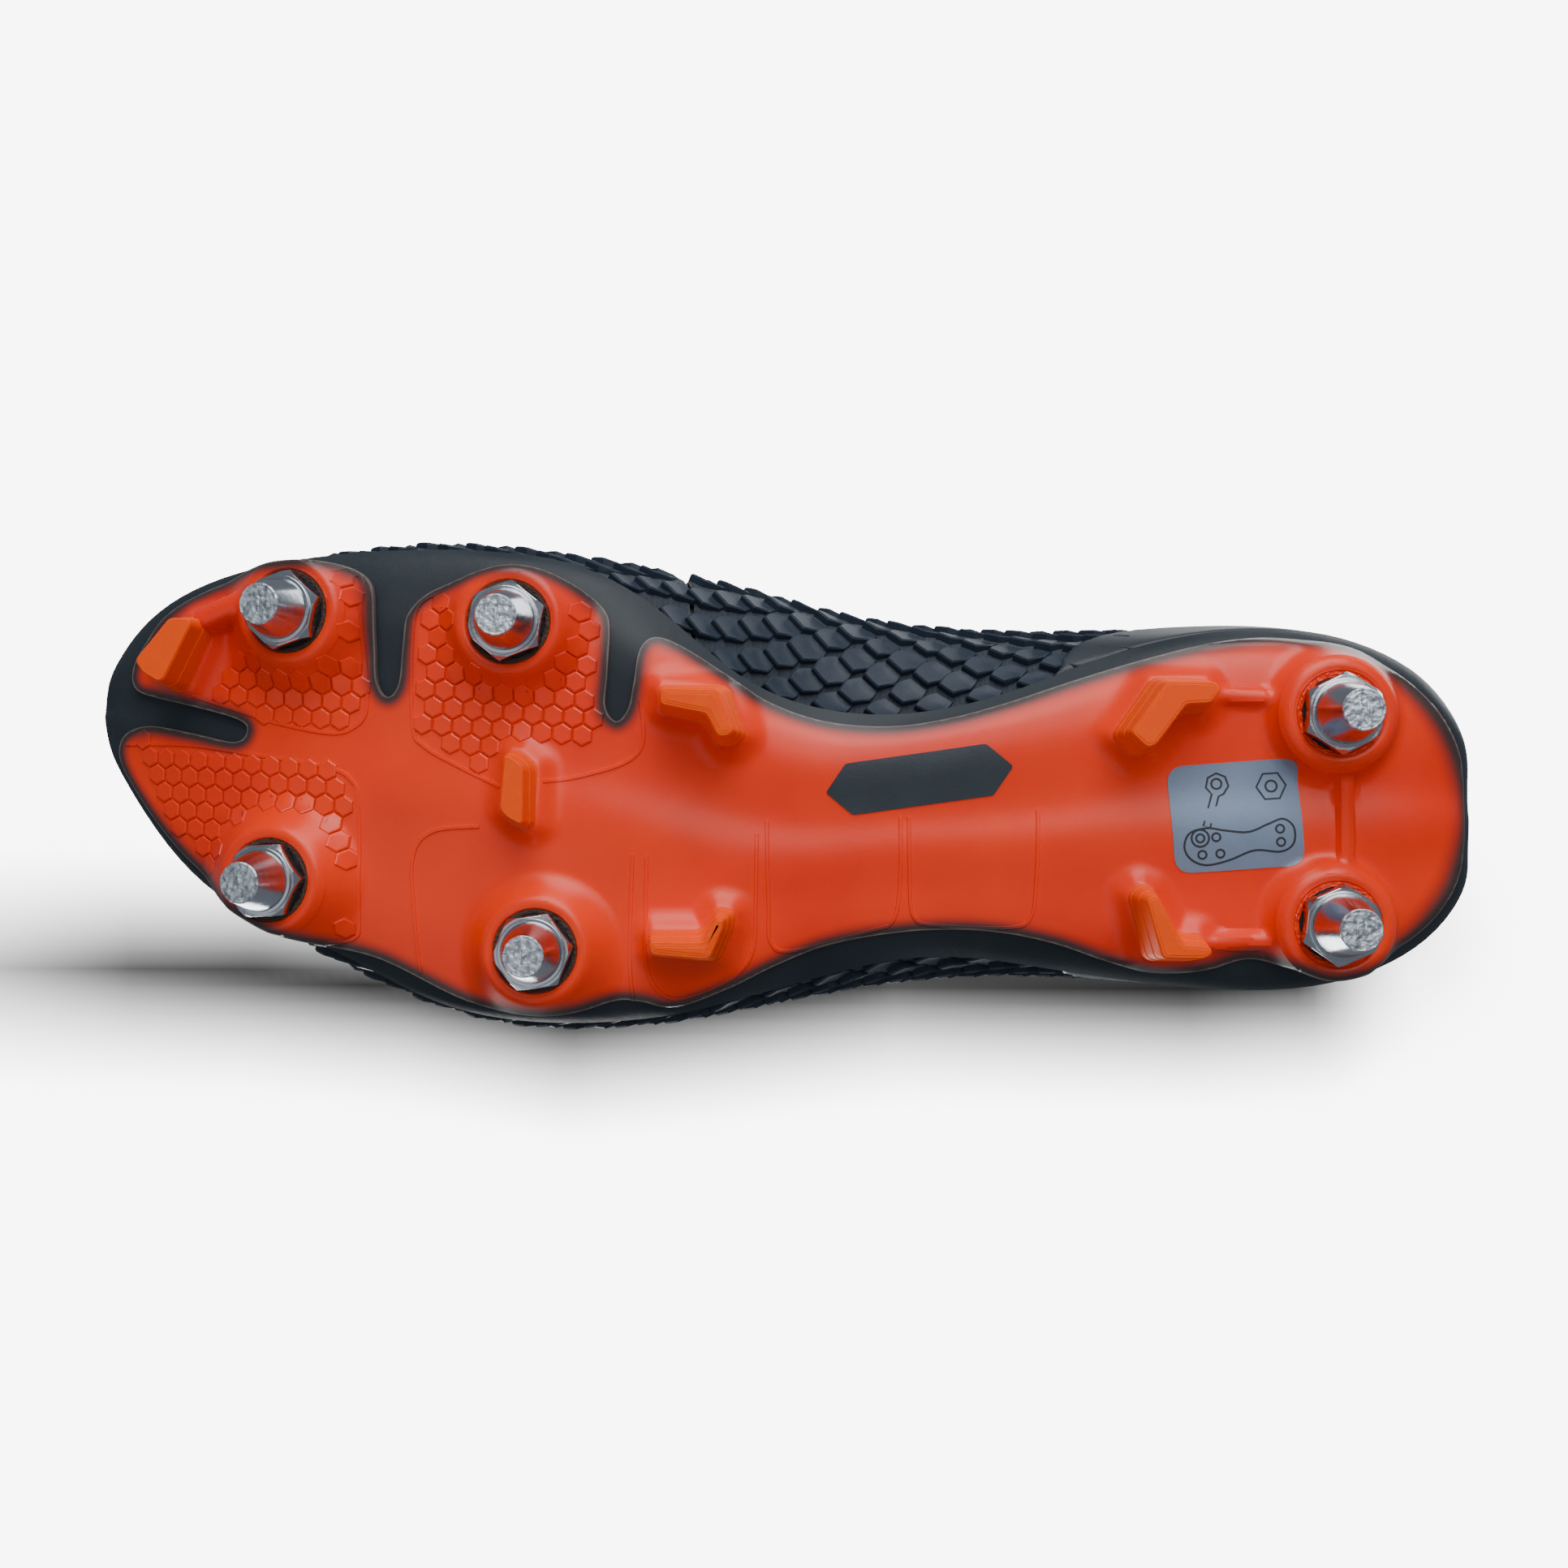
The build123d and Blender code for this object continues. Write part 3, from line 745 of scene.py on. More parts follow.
@dataclass
class Stage:
    """Camera, lights, a floor seen from above and a shadow card seen from below."""

    eye: Point = (-0.0135, -0.0039, -0.270)
    aim: Point = (-0.0025, 0.0, 0.016)
    lens: float = 33.04
    floor_size: float = 9.0
    card_size: float = 0.6
    card_cells: int = 150
    card_height: float = 0.108
    surround: float = 0.24
    glow: float = 10.0
    shadow_reach: float = 33.0
    shadow_line: tuple = (
        (250.0, -46.0, 0.2), (211.0, -48.0, 0.6), (175.0, -48.0, 0.82), (142.0, -49.0, 0.9),
        (100.0, -53.0, 0.92), (57.5, -60.5, 0.93), (23.5, -56.5, 0.92), (-28.0, -49.5, 0.93),
        (-104.0, -51.0, 0.98), (-132.0, -49.0, 0.94), (-156.0, -38.0, 0.3))

    def camera(self) -> None:
        """Sets the camera under the sole, with the medial side up."""
        data = bpy.data.cameras.new("camera")
        data.lens = self.lens
        data.sensor_width = 36.0
        data.clip_start = 0.01
        camera = bpy.data.objects.new("camera", data)
        bpy.context.scene.collection.objects.link(camera)
        eye, aim = Vector(self.eye), Vector(self.aim)
        back = (eye - aim).normalized()
        right = Vector((0.0, 1.0, 0.0)).cross(back).normalized()
        up = back.cross(right)
        turn = Matrix((right, up, back)).transposed()
        camera.matrix_world = Matrix.Translation(eye) @ turn.to_4x4()
        bpy.context.scene.camera = camera

    def _one_sided(self, name: str, size: float, cells: int, height: float, faces_up: bool,
                   solid: tuple) -> bpy.types.Object:
        """Adds a level card that shows from one side only.

        Args:
            name: Name of the card.
            size: Its side in metres.
            cells: How many cells it is divided into along a side.
            height: Its height in metres.
            faces_up: Whether it shows from above, and not from below.
            solid: Type and inputs of its shader.

        Returns:
            The card.
        """
        deselect()
        bpy.ops.mesh.primitive_grid_add(x_subdivisions=cells, y_subdivisions=cells, size=size,
                                        location=(0, 0, height))
        card = bpy.context.object
        card.name = name
        if not faces_up:
            bpy.ops.object.mode_set(mode="EDIT")
            bpy.ops.mesh.select_all(action="SELECT")
            bpy.ops.mesh.flip_normals()
            bpy.ops.object.mode_set(mode="OBJECT")
        t = Tree(name)
        back = t.node("ShaderNodeNewGeometry", {}, output="Backfacing")
        clear = t.node("ShaderNodeBsdfTransparent", {})
        veil = t.node("ShaderNodeMixShader", {}, t.attribute("shade"), clear, t.node(*solid))
        t.node_output(t.node("ShaderNodeMixShader", {}, back, veil, clear))
        card.data.materials.append(t.material)
        card.visible_shadow = False
        card.visible_diffuse = False
        card.visible_glossy = False
        return card

    def _shade(self, card: bpy.types.Object) -> None:
        """Writes the boot's soft shadow on the card behind it.

        Args:
            card: The card.
        """
        points = np.empty(len(card.data.vertices) * 3)
        card.data.vertices.foreach_get("co", points)
        x, y = points.reshape(-1, 3)[:, 0] / MM, points.reshape(-1, 3)[:, 1] / MM
        dark = np.zeros(len(x))
        for (ax, ay, a), (bx, by, b) in zip(self.shadow_line, self.shadow_line[1:]):
            dx, dy = bx - ax, by - ay
            along = np.clip(((x - ax) * dx + (y - ay) * dy) / (dx * dx + dy * dy), 0.0, 1.0)
            away = np.hypot(x - ax - along * dx, y - ay - along * dy)
            near = np.clip(1.0 - away / self.shadow_reach, 0.0, 1.0) ** 1.15
            dark = np.maximum(dark, (a + (b - a) * along) * near)
        layer = card.data.attributes.new("shade", "FLOAT", "POINT")
        layer.data.foreach_set("value", 1.0 - (1.0 - 0.9 * dark) ** 3)

    def _lamp(self, name: str, eye: Point, size: float, power: float) -> None:
        """Adds a soft square lamp that points at the boot.

        Args:
            name: Name of the lamp.
            eye: Where it is.
            size: Side of the square.
            power: Watts.
        """
        data = bpy.data.lights.new(name, "AREA")
        data.size = size
        data.energy = power
        lamp = bpy.data.objects.new(name, data)
        bpy.context.scene.collection.objects.link(lamp)
        lamp.location = eye
        lamp.rotation_euler = (Vector((0, 0, 0.03)) - Vector(eye)).to_track_quat("-Z", "Y").to_euler()

    def world(self) -> None:
        """Makes the world white to the camera, and dim and bluish to everything else."""
        world = bpy.data.worlds.new("surround")
        world.use_nodes = True
        nodes, links = world.node_tree.nodes, world.node_tree.links
        light = nodes["Background"]
        light.inputs["Color"].default_value = (0.80, 0.89, 1.0, 1.0)
        light.inputs["Strength"].default_value = self.surround
        seen = nodes.new("ShaderNodeBackground")
        seen.inputs["Strength"].default_value = self.glow
        path, mix = nodes.new("ShaderNodeLightPath"), nodes.new("ShaderNodeMixShader")
        links.new(path.outputs["Is Camera Ray"], mix.inputs[0])
        links.new(light.outputs[0], mix.inputs[1])
        links.new(seen.outputs[0], mix.inputs[2])
        links.new(mix.outputs[0], nodes["World Output"].inputs["Surface"])
        bpy.context.scene.world = world

    def build(self) -> None:
        """Sets the whole stage."""
        self.camera()
        self.world()
        floor = self._one_sided("floor", self.floor_size, 4, 0.0, True,
                                ("ShaderNodeBsdfDiffuse", {}, (0.86, 0.86, 0.86, 1.0)))
        floor.data.attributes.new("shade", "FLOAT", "POINT").data.foreach_set(
            "value", [1.0] * len(floor.data.vertices))
        self._shade(self._one_sided("shadow_card", self.card_size, self.card_cells, self.card_height,
                                    False, ("ShaderNodeEmission", {}, (0.0, 0.0, 0.0, 1.0))))
        self._lamp("key_under", (-0.1, 0.85, -0.42), 0.8, 8.5)
        self._lamp("sky_under", (-0.22, 0.50, -0.80), 0.7, 3.6)
        self._lamp("fill_under", (0.4, -0.4, -0.9), 0.9, 1.2)
        self._lamp("key_above", (0.4, -0.7, 0.95), 0.8, 14.0)
        self._lamp("fill_above", (-0.7, 0.6, 0.8), 0.9, 8.0)


# ---- what the sole carries ---------------------------------------------------------------------------


@dataclass(frozen=True)
class Seat:
    """One stud's place on the sole, read from its hinge."""

    name: str
    centre: Vector
    axis: Vector
    height: float
    turn: float
    marks: int
    rear: bool

    def matrix(self) -> Matrix:
        """Gives the place whose +Z runs out of the sole along the stud.

        Returns:
            The place, in the frame's metres.
        """
        side = Vector((0.0, 1.0, 0.0))
        ahead = side.cross(self.axis).normalized()
        turn = Matrix((ahead, self.axis.cross(ahead), self.axis)).transposed()
        return Matrix.Translation(self.centre) @ turn.to_4x4()


HEXAGON_TURNS = {"toe_medial": 17.0, "toe_lateral": 3.0, "ball_medial": 21.0, "ball_lateral": 8.0,
                 "heel_medial": 27.0, "heel_lateral": 24.0}
FRONT_STUD_HEIGHT, REAR_STUD_HEIGHT = 11.0, 13.0


def read_seats() -> list[Seat]:
    """Reads the six seats from the frame's joints.

    Returns:
        The seats.
    """
    seats = []
    for joint in frame["joints"]:
        if joint["type"] != "hinge":
            continue
        name = joint["name"].replace("stud_turn_", "")
        rear = name.startswith("heel")
        seats.append(Seat(name, Vector(joint["pos_m"]), Vector(joint["axis"]).normalized(),
                          REAR_STUD_HEIGHT if rear else FRONT_STUD_HEIGHT, HEXAGON_TURNS[name],
                          2 if rear else 1, rear))
    return seats


@dataclass(frozen=True)
class BladeShape:
    """A moulded blade: the corners of its tip and its tip's height, in millimetres."""

    node: str
    corners: tuple
    tip: float
    rings: int

    def line(self) -> np.ndarray:
        """Gives the tip's corners as a closed run."""
        return np.array((*self.corners, self.corners[0]))


BLADES = (
    BladeShape("blade_toe", ((118.9, 33.2), (114.8, 33.0), (114.4, 31.4), (119.8, 20.6), (121.2, 20.1),
                             (124.4, 22.0), (126.0, 24.6)), 9.5, 0),
    BladeShape("blade_centre", ((51.0, 5.6), (49.6, 5.5), (47.0, 3.3), (47.0, -7.6), (47.9, -8.1),
                                (50.6, -6.6), (51.9, -5.0)), 5.0, 0),
    BladeShape("chevron_ball_medial", ((20.9, 18.6), (9.3, 18.3), (6.2, 10.0), (7.6, 8.8), (9.6, 8.8),
                                       (11.9, 13.2), (20.8, 15.0)), 5.0, 2),
    BladeShape("chevron_ball_lateral", ((22.9, -30.1), (12.6, -30.2), (9.9, -25.7), (8.3, -26.0),
                                        (8.4, -28.0), (10.9, -33.8), (13.0, -33.9), (22.7, -33.0)),
               5.0, 2),
    BladeShape("chevron_heel_medial", ((-76.2, 19.7), (-85.6, 19.5), (-86.6, 17.6), (-84.6, 15.0),
                                       (-79.9, 14.8), (-74.2, 7.1), (-72.4, 6.5), (-69.0, 9.6)),
               6.0, 1),
    BladeShape("chevron_heel_lateral", ((-71.9, -22.2), (-73.2, -21.0), (-74.8, -21.8), (-79.2, -30.4),
                                        (-84.2, -30.8), (-84.8, -32.4), (-83.0, -33.6),
                                        (-75.0, -33.5)), 6.0, 1),
)

RIBS = (
    ((-88.0, 17.6), (-102.0, 16.8), 1.5, 16.2),
    ((-86.0, -31.4), (-101.0, -30.6), 1.5, 16.2),
    ((-113.4, 5.0), (-113.2, -18.0), 1.5, 16.0),
    ((106.0, 37.0), (114.0, 33.5), 2.2, 13.6),
)

SKIN_EDGE = (
    (107.0, 10.9), (109.2, 13.4), (120.0, 16.3), (128.5, 18.2), (133.6, 20.0), (134.6, 23.5), (132.2, 28.4),
    (125.4, 36.0), (114.4, 41.2), (101.4, 44.1), (91.6, 44.6), (84.6, 43.6), (81.2, 41.4), (79.9, 37.5),
    (79.6, 28.0), (79.3, 20.4), (77.1, 17.6), (74.8, 20.2), (73.9, 28.0), (73.2, 33.8), (70.0, 37.8),
    (65.4, 40.2), (57.0, 42.7), (51.3, 43.5), (46.0, 42.9), (40.6, 40.7), (36.0, 37.7), (33.0, 34.4),
    (32.2, 30.5), (32.6, 22.0), (33.0, 15.4), (30.8, 12.6), (28.4, 15.2), (27.2, 21.0), (26.1, 27.2),
    (23.0, 29.7), (17.3, 27.6), (8.5, 22.0), (0.0, 16.6), (-11.0, 12.9), (-24.0, 11.9), (-36.0, 13.5),
    (-48.0, 16.7), (-62.0, 21.3), (-76.0, 25.4), (-90.0, 28.6), (-103.0, 29.4), (-118.0, 26.4),
    (-130.0, 17.4), (-136.8, 6.6), (-139.4, -5.6), (-136.6, -18.6), (-130.4, -28.2), (-121.0, -35.3),
    (-110.0, -38.4), (-102.0, -36.2), (-94.8, -34.7), (-87.0, -36.9), (-77.0, -38.0), (-67.0, -35.4),
    (-57.0, -32.0), (-46.0, -29.8), (-34.0, -29.3), (-22.0, -30.4), (-10.4, -32.8), (0.0, -37.0),
    (8.5, -41.2), (19.0, -44.9), (26.0, -43.6), (31.0, -43.4), (39.0, -45.6), (48.0, -46.0),
    (61.0, -43.6), (78.0, -35.6), (90.0, -32.6), (99.5, -29.4), (110.0, -23.6), (119.6, -16.4),
    (128.0, -8.4), (135.0, 0.4), (137.8, 6.2), (136.4, 10.6), (130.0, 12.3), (120.0, 10.7), (109.8, 8.7),
)


class SoleSurface:
    """The height of the orange skin everywhere under the boot, in design millimetres."""

    step = 0.8
    skin_depth = 3.7
    mound_rise = 0.35
    mound_top = 10.2
    front_slope = 1.15
    rear_slope = 1.9
    low = (-144.0, -52.0)
    high = (145.0, 52.0)

    def __init__(self, seats: list[Seat]) -> None:
        """Reads the closed upper's underside and lays the skin's own shapes on it.

        Args:
            seats: The studs' seats.
        """
        self.seats = seats
        self.xs = np.arange(self.low[0], self.high[0], self.step)
        self.ys = np.arange(self.low[1], self.high[1], self.step)
        self.edge = curve_through(SKIN_EDGE, True, 6)
        self.base = self._underside()

    def _underside(self) -> np.ndarray:
        """Reads the underside of the upper on a grid and moves it out by the skin's depth.

        Returns:
            Heights, one row for each x.
        """
        trees = [tree_of(frame["nodes"][n]) for n in ("strobel_board", "vamp", "quarter_medial",
                                                     "quarter_lateral")]
        heights = np.full((len(self.xs), len(self.ys)), np.nan)
        for i, x in enumerate(self.xs):
            for j, y in enumerate(self.ys):
                start = place(x, y, -20.0)
                hits = [tree.ray_cast(start, Vector((0, 0, 1)))[0] for tree in trees]
                levels = [hit.z / MM for hit in hits if hit is not None]
                if levels and min(levels) < 46.0:
                    heights[i, j] = min(levels)
        heights = spread(heights)
        heights = blur(median(heights), 2.2)
        slope_x, slope_y = np.gradient(heights, self.step)
        tilt = np.minimum(np.sqrt(1 + slope_x ** 2 + slope_y ** 2), 1.7)
        return heights - self.skin_depth * tilt

    def _look_up(self, x: np.ndarray, y: np.ndarray) -> np.ndarray:
        """Reads the plain skin's height between grid points.

        Args:
            x: Points' x in millimetres.
            y: Points' y in millimetres.

        Returns:
            Heights in millimetres.
        """
        u = np.clip((x - self.low[0]) / self.step, 0, len(self.xs) - 1.001)
        v = np.clip((y - self.low[1]) / self.step, 0, len(self.ys) - 1.001)
        i, j = u.astype(int), v.astype(int)
        u, v = u - i, v - j
        b = self.base
        return ((b[i, j] * (1 - u) + b[i + 1, j] * u) * (1 - v)
                + (b[i, j + 1] * (1 - u) + b[i + 1, j + 1] * u) * v)

    def height(self, x: np.ndarray, y: np.ndarray) -> np.ndarray:
        """Gives the skin's outer height, with its mounds, ribs and blade roots.

        Args:
            x: Points' x in millimetres.
            y: Points' y in millimetres.

        Returns:
            Heights in millimetres.
        """
        z = self._look_up(x, y)
        plain = z
        for seat in self.seats:
            z = soft_lower(z, self._mound(seat, x, y), 2.4)
        for blade in BLADES:
            away = distance_to(x, y, blade.line())
            root = plain - 2.6 + np.maximum(away - 1.4, 0.0) * 0.95
            z = soft_lower(z, root, 1.8)
        for start, end, half, top in RIBS:
            away = distance_to(x, y, np.array((start, end)))
            z = soft_lower(z, top + 2.6 * (away / (half + 0.6)) ** 4, 0.7)
        return z

    def _mound(self, seat: Seat, x: np.ndarray, y: np.ndarray) -> np.ndarray:
        """Gives the height of one stud's mound.

        Args:
            seat: The stud's seat.
            x: Points' x in millimetres.
            y: Points' y in millimetres.

        Returns:
            Heights in millimetres.
        """
        cx, cy, cz = (seat.centre - SHIFT) / MM
        lean = seat.axis.x / -seat.axis.z
        away = np.hypot((x - cx) * math.sqrt(1 + lean ** 2), y - cy)
        slope = self.rear_slope if seat.rear else self.front_slope
        rise = self.mound_rise - np.maximum(away - self.mound_top, 0.0) * slope
        return cz + (x - cx) * lean - rise


def tree_of(piece: bpy.types.Object) -> BVHTree:
    """Makes a search tree of a piece's mesh.

    Args:
        piece: The piece.

    Returns:
        The tree, in the frame's metres.
    """
    form = bmesh.new()
    form.from_mesh(piece.data)
    tree = BVHTree.FromBMesh(form)
    form.free()
    return tree


def soft_lower(a: np.ndarray, b: np.ndarray, width: float) -> np.ndarray:
    """Takes the lower of two surfaces with a soft fillet where they cross.

    Args:
        a: First heights.
        b: Second heights.
        width: How wide the fillet is, in millimetres of height.

    Returns:
        The lower heights, filleted.
    """
    part = np.clip(0.5 + 0.5 * (b - a) / width, 0.0, 1.0)
    return b * (1 - part) + a * part - width * part * (1 - part)


def spread(grid: np.ndarray) -> np.ndarray:
    """Fills empty cells outwards from their filled neighbours.

    Args:
        grid: Heights, with NaN where a cell is empty.

    Returns:
        The filled grid.
    """
    out = grid.copy()
    while np.isnan(out).any():
        padded = np.pad(out, 1, constant_values=np.nan)
        around = np.stack([padded[1:-1, :-2], padded[1:-1, 2:], padded[:-2, 1:-1], padded[2:, 1:-1]])
        known = ~np.isnan(around)
        total = np.where(known, around, 0.0).sum(0)
        count = known.sum(0)
        ready = np.isnan(out) & (count > 0)
        out[ready] = total[ready] / count[ready]
    return out


def median(grid: np.ndarray) -> np.ndarray:
    """Takes the middle value of each cell and its eight neighbours.

    Args:
        grid: Heights.

    Returns:
        The evened heights.
    """
    padded = np.pad(grid, 1, mode="edge")
    rows, columns = grid.shape
    near = [padded[i:i + rows, j:j + columns] for i in range(3) for j in range(3)]
    return np.median(np.stack(near), axis=0)


def blur(grid: np.ndarray, cells: float) -> np.ndarray:
    """Smooths a grid with a bell-shaped window.

    Args:
        grid: The values.
        cells: The window's spread in cells.

    Returns:
        The smoothed values.
    """
    reach = int(3 * cells)
    bell = np.exp(-0.5 * (np.arange(-reach, reach + 1) / cells) ** 2)
    bell /= bell.sum()
    padded = np.pad(grid, reach, mode="edge")
    rows = np.apply_along_axis(np.convolve, 1, padded, bell, "valid")
    return np.apply_along_axis(np.convolve, 0, rows, bell, "valid")


@dataclass
class OuterSkin:
    """The orange skin of the sole: one moulded sheet with mounds, ribs and three slots."""

    surface: SoleSurface
    wardrobe: Wardrobe
    thickness: float = 1.5
    seat_hole: float = 8.6

    def build(self) -> bpy.types.Object:
        """Builds the sheet.

        Returns:
            The piece.
        """
        surface = self.surface
        sheet = draped("outer_skin", surface.edge, surface.height, 0.0, self.thickness, surface.step)
        holes = [self._hole(seat) for seat in self.surface.seats]
        carve(sheet, join("seat_holes", *holes), "DIFFERENCE")
        write_fade(sheet, self.surface, FADE_WIDTH)
        smooth(sheet, 40.0)
        self.wardrobe.dress(sheet, Finish.SKIN)
        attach(sheet, "boot")
        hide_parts("plate_skin")
        return sheet

    def _hole(self, seat: Seat) -> bpy.types.Object:
        """Makes the round tool that clears one seat.

        Args:
            seat: The stud's seat.

        Returns:
            The tool.
        """
        deselect()
        bpy.ops.mesh.primitive_cylinder_add(vertices=72, radius=self.seat_hole * MM, depth=30 * MM)
        tool = bpy.context.object
        tool.data.transform(seat.matrix())
        return tool


def draped(name: str, outline: np.ndarray, height: Height, lift: float, thickness: float,
           step: float) -> bpy.types.Object:
    """Cuts a sheet to an outline and lays it on a surface seen from below.

    Args:
        name: Name of the sheet.
        outline: The outline in design millimetres.
        height: Gives the surface's height.
        lift: How far the sheet's outer face stands out of the surface.
        thickness: Its thickness in millimetres.
        step: Spacing of its points in millimetres.

    Returns:
        The closed sheet.
    """
    low, high = outline.min(axis=0) - 2 * step, outline.max(axis=0) + 2 * step
    xs, ys = np.arange(low[0], high[0], step), np.arange(low[1], high[1], step)
    x, y = np.meshgrid(xs, ys, indexing="ij")
    under = height(x.ravel(), y.ravel()).reshape(x.shape) - lift
    points = [place(*p) for z in (under, under + thickness) for p in zip(x.ravel(), y.ravel(), z.ravel())]
    rows, columns = x.shape
    top = rows * columns
    faces = []
    for i in range(rows - 1):
        for j in range(columns - 1):
            a = i * columns + j
            faces.append([a, a + 1, a + columns + 1, a + columns])
            faces.append([top + a, top + a + columns, top + a + columns + 1, top + a + 1])
    rim = list(range(columns)) + [i * columns + columns - 1 for i in range(1, rows)]
    rim += [(rows - 1) * columns + j for j in range(columns - 2, -1, -1)]
    rim += [i * columns for i in range(rows - 2, 0, -1)]
    for a, b in zip(rim, rim[1:] + rim[:1]):
        faces.append([a, top + a, top + b, b])
    sheet = from_points(name, points, faces)
    carve(sheet, prism(name + "_tool", outline, CUT_LOW, CUT_HIGH), "INTERSECT")
    return sheet


def write_plain_fade(piece: bpy.types.Object) -> None:
    """Marks a piece of skin as far from the skin's edge."""
    piece.data.attributes.new("edge_fade", "FLOAT", "POINT")


def write_fade(piece: bpy.types.Object, surface: SoleSurface, width: float) -> None:
    """Writes how near each point of a piece is to the skin's edge.

    Args:
        piece: The piece.
        surface: The skin's surface.
        width: Millimetres over which the skin darkens, more at the heel.
    """
    points = np.empty(len(piece.data.vertices) * 3)
    piece.data.vertices.foreach_get("co", points)
    x, y = (points.reshape(-1, 3)[:, k] / MM - SHIFT[k] / MM for k in (0, 1))
    loop = np.vstack([surface.edge, surface.edge[:1]])
    reach = width * (1.0 + 0.7 * np.clip((-116.0 - x) / 14.0, 0.0, 1.0))
    near = np.clip(1 - (distance_to(x, y, loop) - 0.2) / reach, 0.0, 1.0) ** 1.5
    layer = piece.data.attributes.new("edge_fade", "FLOAT", "POINT")
    layer.data.foreach_set("value", near)


@dataclass
class SeatTrim:
    """The rolled lip of the skin round one stud, and the grit packed beside the hexagon."""

    seat: Seat
    surface: SoleSurface
    wardrobe: Wardrobe
    lip_steps: int = 72
    grit_steps: int = 96

    LIP = ((8.25, -1.8), (8.27, -0.1), (8.4, 0.16), (8.7, 0.34), (9.2, 0.44), (9.8, 0.4), (10.4, 0.16),
           (11.0, -0.4), (11.6, -1.1), (11.2, -1.8), (8.25, -1.8))
    GRIT = ((7.3, -1.0), (7.3, -0.2), (7.5, -0.1), (7.75, 0.0), (8.0, 0.05), (8.27, 0.02), (8.27, -1.0),
            (7.3, -1.0))

    def _turned(self, name: str, profile: tuple, steps: int) -> bpy.types.Object:
        """Spins a profile of radius and height round the stud's axis.

        Args:
            name: Name of the piece.
            profile: Pairs of radius and height in millimetres.
            steps: Steps round the axis.

        Returns:
            The piece, standing at the origin.
        """
        points = [Vector((r, 0.0, h)) * MM for r, h in profile]
        piece = from_points(name, points, [])
        piece.data.clear_geometry()
        piece.data.from_pydata(points, [(k, k + 1) for k in range(len(points) - 1)], [])
        pick(piece)
        bpy.ops.object.mode_set(mode="EDIT")
        bpy.ops.mesh.select_all(action="SELECT")
        bpy.ops.mesh.spin(steps=steps, angle=2 * math.pi, center=(0, 0, 0), axis=(0, 0, 1))
        bpy.ops.mesh.select_all(action="SELECT")
        bpy.ops.mesh.remove_doubles(threshold=0.00001)
        bpy.ops.mesh.normals_make_consistent(inside=False)
        bpy.ops.object.mode_set(mode="OBJECT")
        return piece

    def build(self) -> None:
        """Builds the lip and the grit."""
        lip = self._turned("seat_lip_" + self.seat.name, self.LIP, self.lip_steps)
        lip.data.transform(self.seat.matrix())
        outward(lip)
        carve(lip, prism("lip_trim", self.surface.edge, CUT_LOW, CUT_HIGH), "INTERSECT")
        write_fade(lip, self.surface, FADE_WIDTH)
        smooth(lip, 60.0)
        self.wardrobe.dress(lip, Finish.SKIN)
        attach(lip, "boot")
        grit = self._turned("seat_grit_" + self.seat.name, self.GRIT, self.grit_steps)
        rng = np.random.default_rng(len(self.seat.name) + int(self.seat.turn))
        for vertex in grit.data.vertices:
            if vertex.co.z > -0.0005:
                vertex.co.z += float(rng.uniform(-0.12, 0.22)) * MM
        grit.data.transform(self.seat.matrix())
        if self.seat.rear:
            write_plain_fade(grit)
        self.wardrobe.dress(grit, Finish.SKIN if self.seat.rear else Finish.GRIT)
        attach(grit, "boot")


